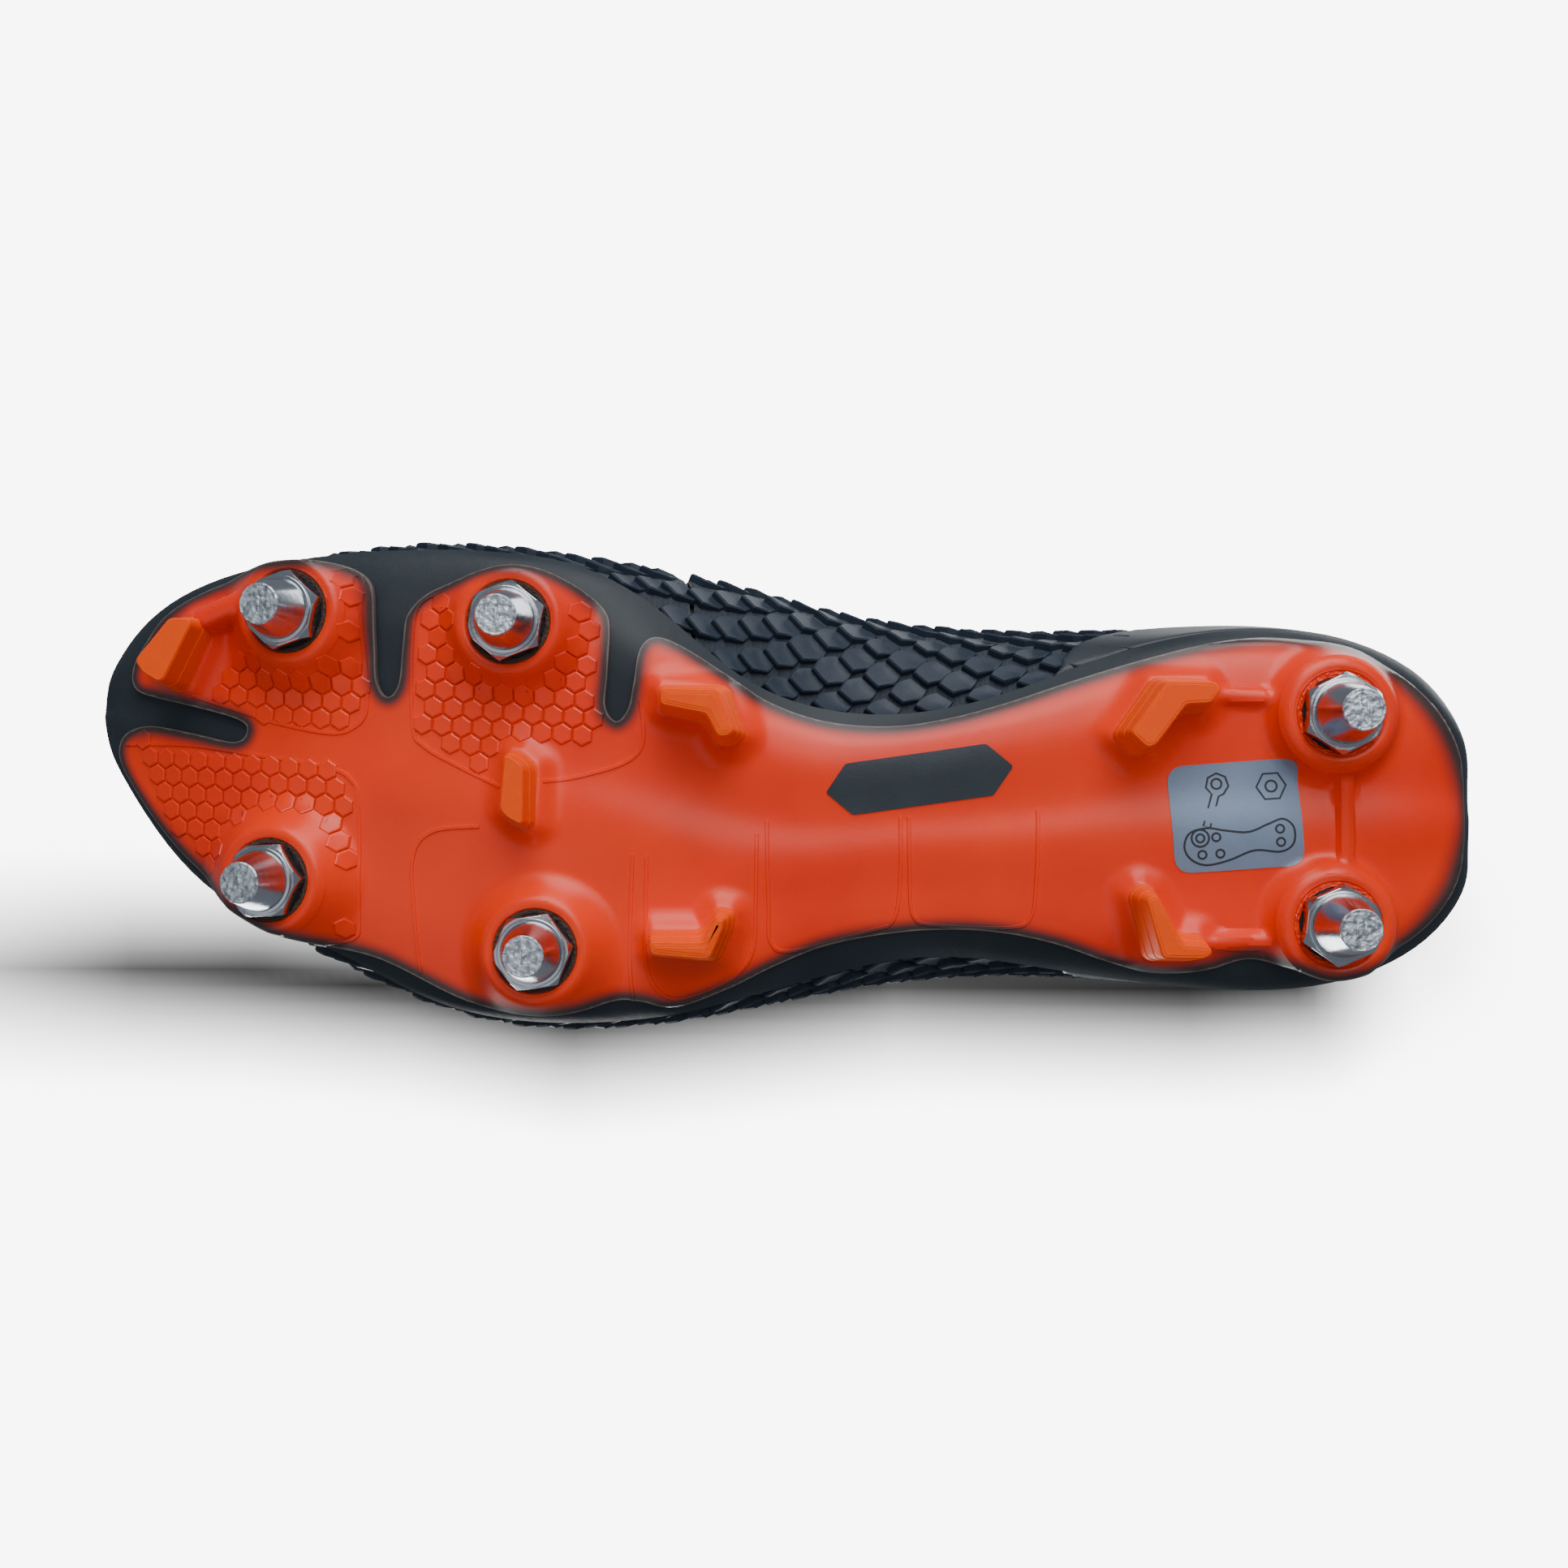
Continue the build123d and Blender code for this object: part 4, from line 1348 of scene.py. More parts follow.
@dataclass
class ScrewStud:
    """One turned alloy stud: chamfered hexagon, ring, cone and worn tip."""

    seat: Seat
    wardrobe: Wardrobe
    flats: float = 14.0
    hexagon_height: float = 3.4
    cone_base: float = 6.35
    tip_radius: float = 3.95

    def _hexagon(self) -> bpy.types.Object:
        """Builds the wrench hexagon with its corners turned off.

        Returns:
            The hexagon, standing at the origin.
        """
        deselect()
        corner = self.flats / 2 / math.cos(math.radians(30)) * MM
        depth = self.hexagon_height * MM
        bpy.ops.mesh.primitive_cylinder_add(vertices=6, radius=corner, depth=depth,
                                            location=(0, 0, depth / 2),
                                            rotation=(0, 0, math.radians(30 + self.seat.turn)))
        piece = bpy.context.object
        settle(piece)
        modify(piece, "BEVEL", width=0.25 * MM, segments=2, angle_limit=math.radians(40))
        deselect()
        bpy.ops.mesh.primitive_cone_add(vertices=96, radius1=corner + 1.7 * MM, radius2=corner - 0.95 * MM,
                                        depth=depth + 0.2 * MM, location=(0, 0, depth / 2))
        carve(piece, bpy.context.object, "INTERSECT")
        return piece

    def _cone(self) -> bpy.types.Object:
        """Builds the cone with a rounded rim at its tip.

        Returns:
            The cone, standing at the origin.
        """
        deselect()
        low = self.hexagon_height
        depth = (self.seat.height - low + 0.6) * MM
        bpy.ops.mesh.primitive_cone_add(vertices=96, radius1=self.cone_base * MM,
                                        radius2=self.tip_radius * MM, depth=depth,
                                        location=(0, 0, low * MM - 0.6 * MM + depth / 2))
        piece = bpy.context.object
        select_faces(piece, lambda face: face.normal.z > 0.9)
        bpy.ops.mesh.bevel(offset=0.35 * MM, segments=3, affect="EDGES")
        bpy.ops.object.mode_set(mode="OBJECT")
        settle(piece)
        select_faces(piece, lambda face: face.normal.z > 0.95)
        bpy.ops.mesh.inset(thickness=0.3 * MM, depth=-0.12 * MM)
        bpy.ops.object.mode_set(mode="OBJECT")
        return piece

    def _ring(self) -> bpy.types.Object:
        """Builds the thin ring where the cone meets the hexagon.

        Returns:
            The ring, standing at the origin.
        """
        deselect()
        bpy.ops.mesh.primitive_cylinder_add(vertices=96, radius=6.72 * MM, depth=1.0 * MM,
                                            location=(0, 0, (self.hexagon_height - 0.05) * MM))
        piece = bpy.context.object
        modify(piece, "BEVEL", width=0.22 * MM, segments=3, angle_limit=math.radians(40))
        settle(piece)
        return piece

    def _marks(self) -> list[bpy.types.Object]:
        """Builds the raised bars on the tip that tell the stud's length.

        Returns:
            The bars, standing at the origin.
        """
        bars = []
        for k in range(self.seat.marks):
            deselect()
            across = (k - (self.seat.marks - 1) / 2) * 1.5
            bpy.ops.mesh.primitive_cube_add(size=1.0, location=(across * MM, 0,
                                                              (self.seat.height - 0.12) * MM),
                                            scale=(0.55 * MM, 3.0 * MM, 0.3 * MM))
            bar = bpy.context.object
            settle(bar)
            modify(bar, "BEVEL", width=0.12 * MM, segments=2)
            bars.append(bar)
        return bars

    def build(self) -> None:
        """Builds the stud on its seat."""
        name = self.seat.name
        stud = join("alloy_stud_" + name, self._hexagon(), self._ring(), self._cone(), *self._marks())
        stud.data.transform(self.seat.matrix())
        smooth(stud, 32.0)
        self.wardrobe.dress(stud, Finish.ALLOY)
        stud.data.materials.append(self.wardrobe.get(Finish.TIP))
        top = self.seat.centre + self.seat.axis * self.seat.height * MM
        for face in stud.data.polygons:
            if (face.center - top).dot(self.seat.axis) > -0.3 * MM:
                face.material_index = 1
        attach(stud, "stud_" + name)
        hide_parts("stud_" + name)


@dataclass
class Blade:
    """One moulded orange blade with drafted, terraced walls and fine rings on its tip."""

    shape: BladeShape
    surface: SoleSurface
    wardrobe: Wardrobe
    draft: float = 0.12
    ledge: float = 0.14
    trim: float = 0.3
    tiers: int = 3
    corner: float = 0.9

    def _levels(self, root: float) -> list[tuple[float, float]]:
        """Lists how far the outline is grown at each height, from the root to the tip.

        Args:
            root: Height of the skin under the blade, in millimetres.

        Returns:
            Pairs of growth and height in millimetres.
        """
        tip = self.shape.tip
        levels = []
        tall = root - tip
        for k in range(self.tiers):
            for part in (0.0, 0.96):
                depth = (k + part) / self.tiers
                grow = (1 - depth) * tall * self.draft + (self.tiers - 1 - k) * self.ledge + 0.12
                levels.append((grow, root - depth * tall + 0.3))
        levels += [(0.1, tip + 0.5), (-0.02, tip + 0.28), (-0.16, tip + 0.16)]
        edge, z = -0.16, tip + 0.16
        for _ in range(self.shape.rings):
            levels += [(edge - 0.34, z), (edge - 0.44, z - 0.08)]
            edge, z = edge - 0.44, z - 0.08
        return levels

    def build(self) -> None:
        """Builds the blade, standing in the skin."""
        corners = np.array(self.shape.corners)
        x, y = corners.mean(axis=0)
        root = float(self.surface.height(np.array([x]), np.array([y]))[0]) + 2.6
        points, faces, count = [], [], 0
        for grow, z in self._levels(root):
            ring = rounded(grown(corners, grow - self.trim), self.corner + max(grow, -0.4) * 0.6, 5)
            count = len(ring)
            points += [place(px, py, z) for px, py in ring]
        for start in range(0, len(points) - count, count):
            for k in range(count):
                a, b = start + k, start + (k + 1) % count
                faces.append([a, b, b + count, a + count])
        faces += [list(range(count)), [len(points) - count + k for k in range(count)]]
        blade = from_points(self.shape.node + "_form", points, faces)
        outward(blade)
        smooth(blade, 28.0)
        self.wardrobe.dress(blade, Finish.BLADE)
        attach(blade, "boot")
        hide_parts(self.shape.node)


def grown(corners: np.ndarray, reach: float) -> np.ndarray:
    """Moves a closed outline's corners outwards.

    Args:
        corners: The corners, one to a row.
        reach: Millimetres outwards.

    Returns:
        The moved corners.
    """
    ahead = np.roll(corners, -1, axis=0) - corners
    ahead /= np.linalg.norm(ahead, axis=1)[:, None]
    sense = 1.0 if np.cross(corners, np.roll(corners, -1, axis=0)).sum() > 0 else -1.0
    out = np.stack((ahead[:, 1], -ahead[:, 0]), axis=1) * sense
    both = out + np.roll(out, 1, axis=0)
    stretch = np.maximum((both * both).sum(axis=1), 1.1)
    return corners + both * (2 * reach / stretch)[:, None]


def rounded(corners: np.ndarray, radius: float, steps: int) -> np.ndarray:
    """Rounds a closed outline's corners.

    Args:
        corners: The corners, one to a row.
        radius: How far along each side the rounding starts.
        steps: Points on each rounding.

    Returns:
        The rounded outline.
    """
    out = []
    for before, here, after in zip(np.roll(corners, 1, axis=0), corners, np.roll(corners, -1, axis=0)):
        back, ahead = before - here, after - here
        cut = min(radius, 0.45 * np.linalg.norm(back), 0.45 * np.linalg.norm(ahead))
        start = here + back / np.linalg.norm(back) * cut
        end = here + ahead / np.linalg.norm(ahead) * cut
        for s in np.linspace(0.0, 1.0, steps):
            out.append(start * (1 - s) ** 2 + 2 * here * s * (1 - s) + end * s * s)
    return np.array(out)


def ribbons(name: str, lines: list, half: float, lift: float, height: Height) -> bpy.types.Object:
    """Lays thin raised ribbons on a surface seen from below.

    Args:
        name: Name of the piece.
        lines: Runs of points in design millimetres.
        half: Half of a ribbon's flat top in millimetres.
        lift: How far it stands out in millimetres.
        height: Gives the surface's height.

    Returns:
        All the ribbons as one piece.
    """
    points, faces = [], []
    section = ((-half - lift, -lift), (-half, lift), (half, lift), (half + lift, -lift))
    sides = len(section)
    for line in lines:
        ring = np.allclose(line[0], line[-1])
        if ring:
            line = line[:-1]
            ways = np.roll(line, -1, axis=0) - np.roll(line, 1, axis=0)
        else:
            ways = np.gradient(line, axis=0)
        ways /= np.linalg.norm(ways, axis=1)[:, None]
        start = len(points)
        rows = []
        for side, out in section:
            px, py = line[:, 0] - ways[:, 1] * side, line[:, 1] + ways[:, 0] * side
            rows.append(np.stack((px, py, height(px, py) - out), axis=1))
        count = len(line)
        points += [place(*rows[s][k]) for k in range(count) for s in range(sides)]
        for k in range(count if ring else count - 1):
            here, there = start + k * sides, start + (k + 1) % count * sides
            for s in range(sides):
                after = (s + 1) % sides
                faces.append([here + s, there + s, there + after, here + after])
        if not ring:
            faces.append([start + s for s in range(sides)])
            faces.append([start + (count - 1) * sides + s for s in reversed(range(sides))])
    piece = from_points(name, points, faces)
    outward(piece)
    return piece


@dataclass
class GripPanels:
    """Raised hexagons and thin raised borders on the forefoot's skin."""

    surface: SoleSurface
    wardrobe: Wardrobe
    pitch: float = 4.05
    turn: float = 4.2
    groove: float = 0.5
    height: float = 0.42
    medial_clearance: float = 12.6
    lateral_clearance: float = 14.8
    edge_clearance: float = 1.9
    blade_clearance: float = 5.0
    cells: int = 16

    FIELDS = (
        ((92.8, 17.0), ((117.0, 18.6), (110.2, 27.5), (104.0, 40.5), (88.0, 42.4), (82.6, 40.8),
                        (82.2, 13.6), (87.4, 11.4), (105.5, 14.6))),
        ((55.5, 14.6), ((70.2, 34.0), (70.2, 12.0), (67.0, 8.4), (56.0, 2.2), (48.3, 5.6), (36.6, 8.2),
                        (35.2, 10.4), (35.2, 33.0), (39.0, 37.2), (58.0, 40.4), (66.6, 38.0))),
        ((99.7, 0.15), ((136.0, 10.0), (120.0, 8.4), (105.5, 5.6), (89.2, 3.0), (84.4, -1.4), (83.8, -26.4),
                        (85.0, -29.6), (90.0, -31.0), (102.0, -26.0), (114.0, -18.0), (126.0, -7.0))),
    )
    BORDERS = (
        ((83.6, 42.4), (81.9, 40.0), (81.6, 26.0), (81.4, 15.4), (84.0, 11.6), (89.0, 10.4), (100.0, 12.4),
         (108.0, 14.8), (119.0, 18.2)),
        ((66.0, 39.0), (70.6, 36.2), (71.9, 30.0), (71.9, 12.0), (69.4, 7.6), (62.0, 3.4), (53.6, -0.6)),
        ((45.0, 0.6), (38.0, 1.6), (28.6, 4.6), (25.4, 9.0), (26.0, 17.0)),
        ((136.0, 8.6), (120.0, 8.2), (106.0, 6.2), (90.0, 3.6), (84.4, 1.0), (82.8, -4.4), (82.8, -26.0),
         (84.0, -31.0), (90.0, -32.2)),
        ((70.4, -38.0), (71.4, -26.0), (71.6, -14.4), (67.4, -9.4), (58.0, -8.4)),
        ((27.6, -43.4), (28.0, -36.0), (27.8, -24.0), (27.4, -14.0)),
        ((24.6, -14.4), (24.8, -30.0), (24.0, -39.0), (19.0, -43.2), (8.6, -39.6), (3.8, -34.0),
         (3.0, -24.0), (2.8, -10.0)),
        ((0.8, -7.4), (0.4, -24.0), (0.0, -31.6), (-4.4, -33.6), (-20.0, -29.6), (-24.6, -27.4),
         (-26.0, -20.0), (-26.2, -6.6)),
        ((-27.8, -6.6), (-28.0, -20.0), (-28.8, -26.6), (-33.0, -28.4), (-48.0, -28.8), (-52.2, -26.4),
         (-53.2, -19.0), (-53.6, -5.0)),
    )

    def build(self) -> None:
        """Builds the hexagons as one piece and the borders as another, and paints shade into the grooves
        round the hexagons.
        """
        pads = self._pads()
        borders = self._borders()
        for piece, angle in ((pads, 12.0), (borders, 30.0)):
            write_fade(piece, self.surface, FADE_WIDTH)
            smooth(piece, angle)
            self.wardrobe.dress(piece, Finish.SKIN)
            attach(piece, "boot")
        # Painted shade: each hexagon's bottom ring of points is darkened so the grooves between hexagons
        # look shaded.
        for k, value in enumerate(pads.data.attributes["edge_fade"].data):
            value.value = max(value.value, 0.5 if k % 18 < 6 else 0.0)

    def _clear(self, x: float, y: float) -> bool:
        """Says whether a hexagon fits on flat skin here.

        Args:
            x: Millimetres along the boot.
            y: Millimetres towards the medial side.

        Returns:
            Whether it fits.
        """
        if float(distance_to(np.array([x]), np.array([y]), self.surface.edge)[0]) < self.edge_clearance:
            return False
        for seat in self.surface.seats:
            cx, cy, _ = (seat.centre - SHIFT) / MM
            clearance = self.medial_clearance if cy > 0 else self.lateral_clearance
            if math.hypot(x - cx, y - cy) < clearance:
                return False
        return all(float(distance_to(np.array([x]), np.array([y]), b.line())[0]) > self.blade_clearance
                   for b in BLADES)

    def _pads(self) -> bpy.types.Object:
        """Builds every raised hexagon.

        Returns:
            All the hexagons as one piece.
        """
        points, faces = [], []
        corner = (self.pitch - self.groove) / math.sqrt(3)
        tilt = math.radians(self.turn)
        along = np.array((math.cos(tilt), math.sin(tilt)))
        across = np.array((-math.sin(tilt), math.cos(tilt)))
        for origin, border in self.FIELDS:
            outline = np.array(border)
            for row in range(-self.cells, self.cells + 1):
                for column in range(-self.cells, self.cells + 1):
                    x, y = (np.array(origin) + along * self.pitch * (column + 0.5 * (row % 2))
                            + across * self.pitch * row * math.sqrt(3) / 2)
                    if inside(x, y, outline) and self._clear(x, y):
                        self._pad(points, faces, x, y, corner, tilt)
        pads = from_points("sole_hexagons", points, faces)
        outward(pads)
        return pads

    def _pad(self, points: list, faces: list, x: float, y: float, corner: float, tilt: float) -> None:
        """Adds one hexagon with a chamfered edge, laid on the skin.

        Args:
            points: Points so far, added to.
            faces: Faces so far, added to.
            x: The middle's x in millimetres.
            y: The middle's y in millimetres.
            corner: Reach of a corner in millimetres.
            tilt: Turn in radians.
        """
        start = len(points)
        for reach, lift in ((corner + 0.26, -0.02), (corner, self.height * 0.75),
                            (corner - 0.26, self.height)):
            angles = tilt + math.radians(30) + np.arange(6) * math.pi / 3
            px, py = x + reach * np.cos(angles), y + reach * np.sin(angles)
            pz = self.surface.height(px, py) - lift
            points.extend(place(*p) for p in zip(px, py, pz))
        for ring in (0, 6):
            for k in range(6):
                a, b = start + ring + k, start + ring + (k + 1) % 6
                faces.append([a, a + 6, b + 6, b])
        faces.append([start + 12 + k for k in range(5, -1, -1)])
        faces.append([start + k for k in range(6)])

    def _borders(self) -> bpy.types.Object:
        """Builds every thin raised border."""
        lines = [curve_through(border, False, 8) for border in self.BORDERS]
        return ribbons("sole_borders", lines, 0.28, 0.27, self.surface.height)


@dataclass
class HeelLabel:
    """The foil label and its generic pictogram: a sole with six studs, a wrench and a hexagon."""

    surface: SoleSurface
    wardrobe: Wardrobe
    centre: tuple = (-92.2, -6.3)
    turn: float = 4.1

    SOLE = ((-10.6, -5.5), (-9.4, -2.8), (-6.0, -2.0), (-2.5, -2.7), (2.0, -3.3), (6.0, -2.0),
            (9.0, -1.2), (10.9, -3.0), (10.6, -6.2), (8.0, -7.6), (3.0, -7.0), (-2.0, -8.6),
            (-6.5, -9.3), (-9.4, -8.0))
    RINGS = ((-7.4, -3.9, 1.7), (-7.4, -3.9, 0.8), (-4.3, -3.9, 0.8), (-7.2, -7.2, 0.8),
             (-3.7, -7.2, 0.8), (8.2, -3.1, 0.8), (8.2, -5.7, 0.8), (7.4, 5.4, 1.1), (-3.2, 6.6, 1.0))
    WRENCH = ((-6.6, -1.5), (-4.3, 4.6), (-5.3, 6.0), (-4.8, 7.9), (-3.1, 8.7), (-1.4, 7.9), (-0.9, 6.0),
              (-2.0, 4.5), (-3.0, 4.1), (-5.3, -1.9), (-6.6, -1.5))

    def build(self) -> None:
        """Builds the foil and prints the pictogram in dark ink."""
        tilt = math.radians(self.turn)
        turn = np.array(((-math.cos(tilt), math.sin(tilt)), (math.sin(tilt), math.cos(tilt))))
        corners = np.array(((-1, -1), (1, -1), (1, 1), (-1, 1))) * (12.65, 10.65)
        outline = rounded(corners, 3.6, 8) @ turn + self.centre
        foil = draped("label_foil_piece", outline, self.surface.height, 0.14, 0.5, 0.7)
        smooth(foil, 30.0)
        self.wardrobe.dress(foil, Finish.FOIL)
        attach(foil, "boot")
        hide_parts("heel_label")
        hexagon = np.array([(7.4 + 2.9 * math.cos(math.pi * k / 3), 5.4 + 2.9 * math.sin(math.pi * k / 3))
                            for k in range(7)])
        lines = [curve_through(self.SOLE, True, 6), np.array(self.WRENCH), hexagon]
        lines[0] = np.vstack([lines[0], lines[0][:1]])
        for x, y, radius in self.RINGS:
            angles = np.linspace(0.0, 2 * math.pi, 19)
            lines.append(np.stack((x + radius * np.cos(angles), y + radius * np.sin(angles)), axis=1))
        pictogram = ribbons("label_pictogram", [line @ turn + self.centre for line in lines], 0.17, 0.03,
                         lambda a, b: self.surface.height(a, b) - 0.17)
        self.wardrobe.dress(pictogram, Finish.INK)
        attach(pictogram, "boot")


@dataclass
class ArchBadge:
    """The plain long hexagon let into the arch."""

    surface: SoleSurface
    wardrobe: Wardrobe

    length: float = 38.0
    width: float = 10.5
    centre: tuple = (-29.9, 1.0)
    turn: float = -8.0

    def build(self) -> None:
        """Builds the badge, a little proud of the skin."""
        end, side = self.length / 2, self.width / 2
        shoulder = end - side * 0.9
        corners = np.array(((-end, 0), (-shoulder, -side), (shoulder, -side), (end, 0), (shoulder, side),
                            (-shoulder, side)), float)
        tilt = math.radians(self.turn)
        turn = np.array(((math.cos(tilt), math.sin(tilt)), (-math.sin(tilt), math.cos(tilt))))
        outline = rounded(corners @ turn + self.centre, 0.6, 5)
        badge = draped("arch_badge_piece", outline, self.surface.height, 0.16, 0.7, 0.6)
        smooth(badge, 30.0)
        self.wardrobe.dress(badge, Finish.BADGE)
        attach(badge, "boot")
        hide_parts("arch_badge")


# ---- what the upper carries --------------------------------------------------------------------------


class UpperSurface:
    """The outside of the knit upper, reached from a line along the middle of the foot."""

    middle_height = 46.0
    reach_mm = 150.0

    def __init__(self) -> None:
        """Reads the upper's and the plate's meshes."""
        self.knit = [tree_of(frame["nodes"][n]) for n in ("vamp", "quarter_medial", "quarter_lateral")]
        self.plate = [tree_of(frame["nodes"]["plate_chassis"])]

    def _cast(self, trees: list[BVHTree], x: float, angle: float) -> tuple[Vector, Vector] | None:
        """Finds the outermost point of some pieces in one direction.

        Args:
            trees: The pieces' search trees.
            x: Millimetres along the boot.
            angle: Radians above the medial horizontal.

        Returns:
            The point and its normal, or None.
        """
        way = Vector((0.0, math.cos(angle), math.sin(angle)))
        start = place(x, 0.0, self.middle_height) + way * self.reach_mm * MM
        hits = [tree.ray_cast(start, -way, self.reach_mm * MM) for tree in trees]
        hits = [hit for hit in hits if hit[0] is not None]
        if not hits:
            return None
        first = min(hits, key=lambda hit: hit[3])
        return first[0], first[1]

    def point(self, x: float, angle: float) -> tuple[Vector, Vector] | None:
        """Gives the knit's outer point and normal in one direction.

        Args:
            x: Millimetres along the boot.
            angle: Radians above the medial horizontal.

        Returns:
            The point and its normal, or None where there is no knit.
        """
        return self._cast(self.knit, x, angle)

    def bare(self, x: float, angle: float) -> bool:
        """Says whether the knit is outside the plate in one direction.

        Args:
            x: Millimetres along the boot.
            angle: Radians above the medial horizontal.

        Returns:
            Whether the knit shows there.
        """
        knit, plate = self.point(x, angle), self._cast(self.plate, x, angle)
        if knit is None:
            return False
        middle = place(x, 0.0, self.middle_height)
        return plate is None or (knit[0] - middle).length > (plate[0] - middle).length


@dataclass
class ScaleCover:
    """Overlapping moulded scales on one side of the upper."""

    name: str
    medial: bool
    node: str
    upper: UpperSurface
    wardrobe: Wardrobe
    pitch_along: float = 10.6
    pitch_round: float = 7.7
    first_x: float = -76.0
    last_x: float = 124.0
    full_size: float = 26.0
    reach: float = 50.0
    height: float = 1.7

    unevenness: float = 0.09
    seed: int = 7

    RIM = ((-4.4, 0.5), (-2.6, 1.8), (-0.7, 3.0), (0.9, 2.6), (2.6, 2.0), (3.8, 0.8), (4.7, -0.6),
           (3.1, -1.9), (1.4, -3.2), (-0.5, -2.6), (-2.6, -2.0), (-3.6, -0.8))
    TIERS = ((1.05, -0.3), (0.98, 0.8), (0.88, 1.0), (0.45, 0.68))

    def build(self) -> None:
        """Builds every scale of the side as one piece."""
        points, faces = [], []
        rng = np.random.default_rng(self.seed)
        columns = int((self.last_x - self.first_x) / (self.pitch_along / 2))
        for k in range(columns):
            x = self.first_x + k * self.pitch_along / 2
            for angle, along in self._stops(x, (k % 2) * self.pitch_round / 2):
                size = 0.92 if along < self.full_size else 0.92 - 0.45 * (along - self.full_size) / (
                    self.reach - self.full_size)
                size *= 1.0 + self.unevenness * float(rng.uniform(-1.0, 0.6))
                self._scale(points, faces, x, angle, size)
        cover = from_points(self.name, points, faces)
        outward(cover)
        smooth(cover, 30.0)
        self.wardrobe.dress(cover, Finish.GRIP)
        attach(cover, "boot")
        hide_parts(self.node)

    def _angle(self, rise: float) -> float:
        """Turns an angle above this side's horizontal into the surface's own angle."""
        return rise if self.medial else math.pi - rise

    def _stops(self, x: float, offset: float) -> list[tuple[float, float]]:
        """Finds where the scales of one column sit, measured round from the plate's rim.

        Args:
            x: Millimetres along the boot.
            offset: Where the first scale sits, in millimetres.

        Returns:
            Pairs of angle in radians and distance from the rim in millimetres.
        """
        stops, gone, wanted, before = [], 0.0, offset + self.pitch_round * 0.15, None
        for rise in np.radians(np.arange(-58.0, 76.0, 1.0)):
            angle = self._angle(float(rise))
            if not self.upper.bare(x, angle):
                continue
            spot = self.upper.point(x, angle)[0]
            gone += 0.0 if before is None else (spot - before).length / MM
            before = spot
            if gone >= wanted and gone < self.reach:
                stops.append((float(rise), gone))
                wanted += self.pitch_round
        return stops

    def _scale(self, points: list, faces: list, x: float, rise: float, size: float) -> None:
        """Adds one scale, standing highest at its toe and sole edges.

        Args:
            points: Points so far, added to.
            faces: Faces so far, added to.
            x: Millimetres along the boot.
            rise: Radians above the side's horizontal.
            size: Scale of the outline, 1 for full.
        """
        spot, _ = self.upper.point(x, self._angle(rise))
        radius = (spot - place(x, 0.0, self.upper.middle_height)).length / MM
        rings = []
        for grow, lift in self.TIERS:
            for dx, dy in self.RIM:
                hit = self.upper.point(x + dx * grow * size, self._angle(rise + dy * grow * size / radius))
                if hit is None:
                    return
                slope = 0.55 + 0.45 * (dx - 1.4 * dy) / 5.6
                rings.append(hit[0] + hit[1] * lift * self.height * slope * size ** 0.5 * MM)
        start, count = len(points), len(self.RIM)
        points.extend(rings)
        for tier in range(len(self.TIERS) - 1):
            for k in range(count):
                a, b = start + tier * count + k, start + tier * count + (k + 1) % count
                faces.append([a, b, b + count, a + count])
        faces.append([start + (len(self.TIERS) - 1) * count + k for k in range(count)])
        faces.append([start + k for k in range(count)][::-1])


class Relief(Enum):
    """Which way the raised ribs of a soft part run."""

    NONE = "none"
    ROUND_FOOT = "round the foot"
    DOWN_COLLAR = "down the collar"


@dataclass(frozen=True)
class SoftCut:
    """What one soft part of the upper or its inside is made of."""

    node: str
    finish: Finish
    slot: str
    relief: Relief
    voxel: float
    fill: float | None = None


SOFT_CUTS = (
    SoftCut("vamp", Finish.KNIT, "knit_navy", Relief.ROUND_FOOT, 0.9),
    SoftCut("quarter_medial", Finish.KNIT, "knit_navy", Relief.ROUND_FOOT, 0.9),
    SoftCut("quarter_lateral", Finish.KNIT, "knit_navy", Relief.ROUND_FOOT, 0.9),
    SoftCut("throat_gusset", Finish.GUSSET, "gusset_knit", Relief.ROUND_FOOT, 0.7),
    SoftCut("collar_cuff", Finish.CUFF, "cuff_rib", Relief.DOWN_COLLAR, 0.7, 0.3),
    SoftCut("heel_counter", Finish.COUNTER, "counter_shell", Relief.NONE, 0.8),
    SoftCut("insole", Finish.INSOLE, "insole_foam", Relief.NONE, 0.9, 0.8),
)


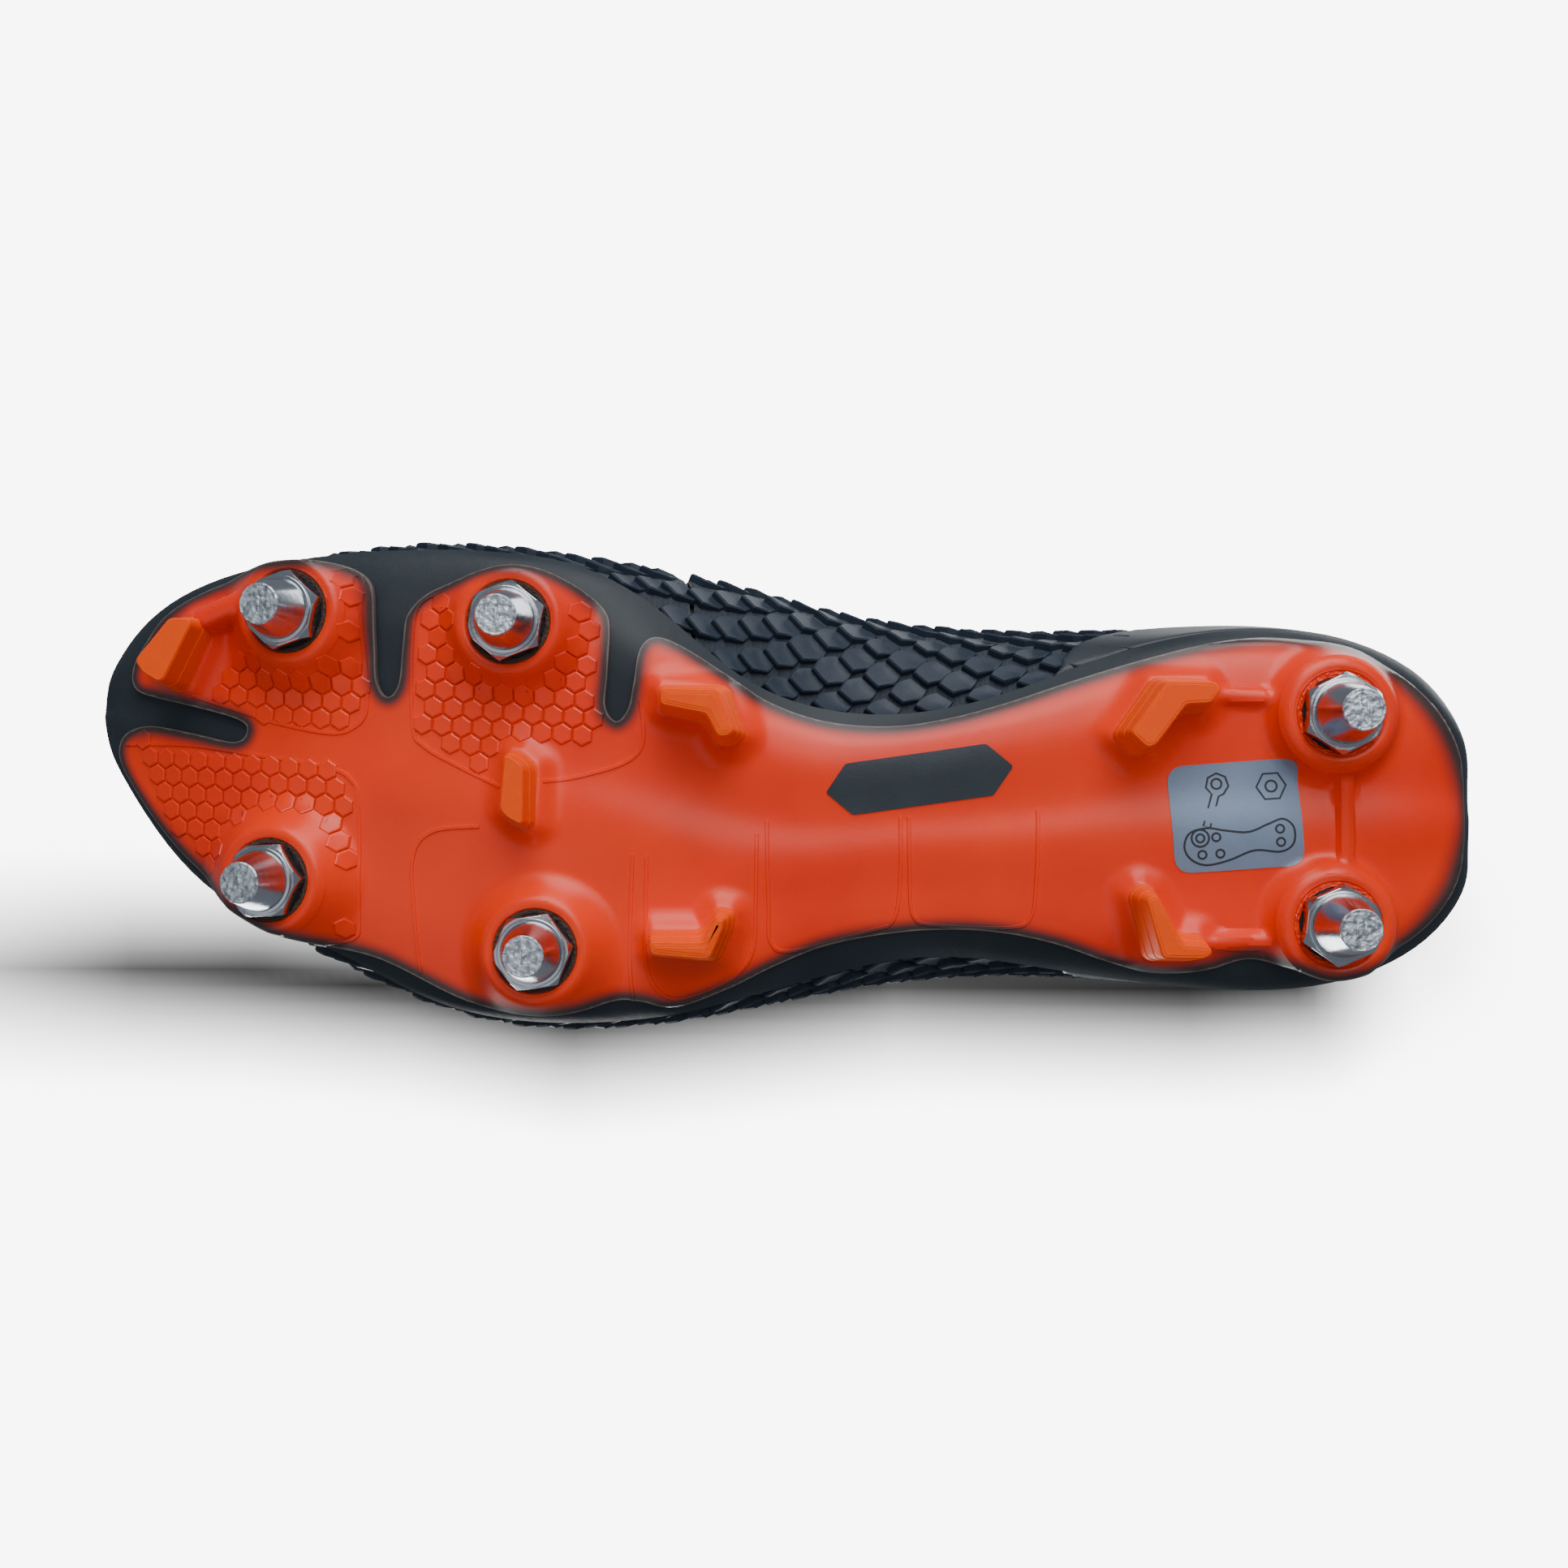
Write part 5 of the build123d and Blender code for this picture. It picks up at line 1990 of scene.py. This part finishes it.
@dataclass
class SoftShell:
    """A soft part worked over from its plain solid: an even mesh, rolled edges and raised ribs."""

    cut: SoftCut
    wardrobe: Wardrobe
    rounding: int = 4
    rib_pitch: float = 3.0
    rib_height: float = 0.13
    collar_middle: float = -72.0
    collar_ribs: int = 84

    def build(self) -> None:
        """Builds the part and lets it stand for its node."""
        node = frame["nodes"][self.cut.node]
        shell = node.copy()
        shell.data = node.data.copy()
        bpy.context.scene.collection.objects.link(shell)
        shell.name = self.cut.node + "_shell"
        modify(shell, "REMESH", mode="VOXEL", voxel_size=self.cut.voxel * MM, adaptivity=0.0)
        modify(shell, "SMOOTH", factor=0.5, iterations=self.rounding)
        self._ribs(shell)
        smooth(shell, 70.0)
        shell.data.materials.clear()
        self.wardrobe.dress(shell, self.cut.finish)
        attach(shell, "boot")
        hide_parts(self.cut.node)
        LOG.info("%s: %d faces", shell.name, len(shell.data.polygons))

    def _ribs(self, shell: bpy.types.Object) -> None:
        """Raises the knit's ribs out of the mesh.

        Args:
            shell: The soft part.
        """
        if self.cut.relief is Relief.NONE:
            return
        count = len(shell.data.vertices)
        points, normals = np.empty(count * 3), np.empty(count * 3)
        shell.data.vertices.foreach_get("co", points)
        shell.data.vertex_normals.foreach_get("vector", normals)
        points, normals = points.reshape(-1, 3), normals.reshape(-1, 3)
        x, y = (points[:, k] / MM - SHIFT[k] / MM for k in (0, 1))
        phase = 2 * math.pi * x / self.rib_pitch
        if self.cut.relief is Relief.DOWN_COLLAR:
            phase = np.arctan2(y, (x - self.collar_middle) * 0.5) * self.collar_ribs
        rise = (np.cos(phase) - 1.0) * 0.5 * self.rib_height * MM
        shell.data.vertices.foreach_set("co", (points + normals * rise[:, None]).ravel())
        shell.data.update()


# ---- carried-over nodes ------------------------------------------------------------------------------

NODE_FINISHES = {
    "plate_chassis": Finish.PLATE, "plate_skin": Finish.SKIN, "arch_badge": Finish.BADGE,
    "heel_label": Finish.FOIL, "blade_toe": Finish.BLADE, "blade_centre": Finish.BLADE,
    "chevron": Finish.BLADE, "strobel_board": Finish.BOARD, "vamp": Finish.KNIT,
    "quarter": Finish.KNIT, "throat_gusset": Finish.GUSSET, "collar_cuff": Finish.CUFF,
    "heel_counter": Finish.COUNTER, "grip_panel": Finish.GRIP, "toe_puff": Finish.SHEET,
    "heel_stiffener": Finish.SHEET, "bootie_lining": Finish.LINING, "insole": Finish.INSOLE,
    "heel_pad": Finish.LINING, "stud_screw": Finish.STEEL, "stud_insert": Finish.BRASS,
    "stud": Finish.ALLOY,
}


def dress_nodes(wardrobe: Wardrobe) -> None:
    """Gives every carried-over node its finish.

    Args:
        wardrobe: The finishes.
    """
    for name, node in frame["nodes"].items():
        finish = next(f for start, f in NODE_FINISHES.items() if name.startswith(start))
        wardrobe.dress(node, finish)


def main() -> None:
    """Builds the boot's looks in order."""
    logging.basicConfig(level=logging.INFO, format="%(name)s: %(message)s")
    Stage().build()
    wardrobe = Wardrobe()
    dress_nodes(wardrobe)
    LOG.info("nodes dressed: %d", len(frame["nodes"]))
    seats = read_seats()
    surface = SoleSurface(seats)
    LOG.info("sole surface read")
    OuterSkin(surface, wardrobe).build()
    LOG.info("outer skin built")
    for seat in seats:
        SeatTrim(seat, surface, wardrobe).build()
        ScrewStud(seat, wardrobe).build()
        LOG.info("stud %s built", seat.name)
    for shape in BLADES:
        Blade(shape, surface, wardrobe).build()
        LOG.info("%s built", shape.node)
    GripPanels(surface, wardrobe).build()
    LOG.info("sole hexagons and borders built")
    HeelLabel(surface, wardrobe).build()
    ArchBadge(surface, wardrobe).build()
    LOG.info("heel label and arch badge built")
    upper = UpperSurface()
    ScaleCover("scales_medial", True, "grip_panel_medial", upper, wardrobe).build()
    LOG.info("medial scales built")
    ScaleCover("scales_lateral", False, "grip_panel_lateral", upper, wardrobe).build()
    LOG.info("lateral scales built")
    for cut in SOFT_CUTS:
        SoftShell(cut, wardrobe).build()


if __name__ == "__main__":
    main()
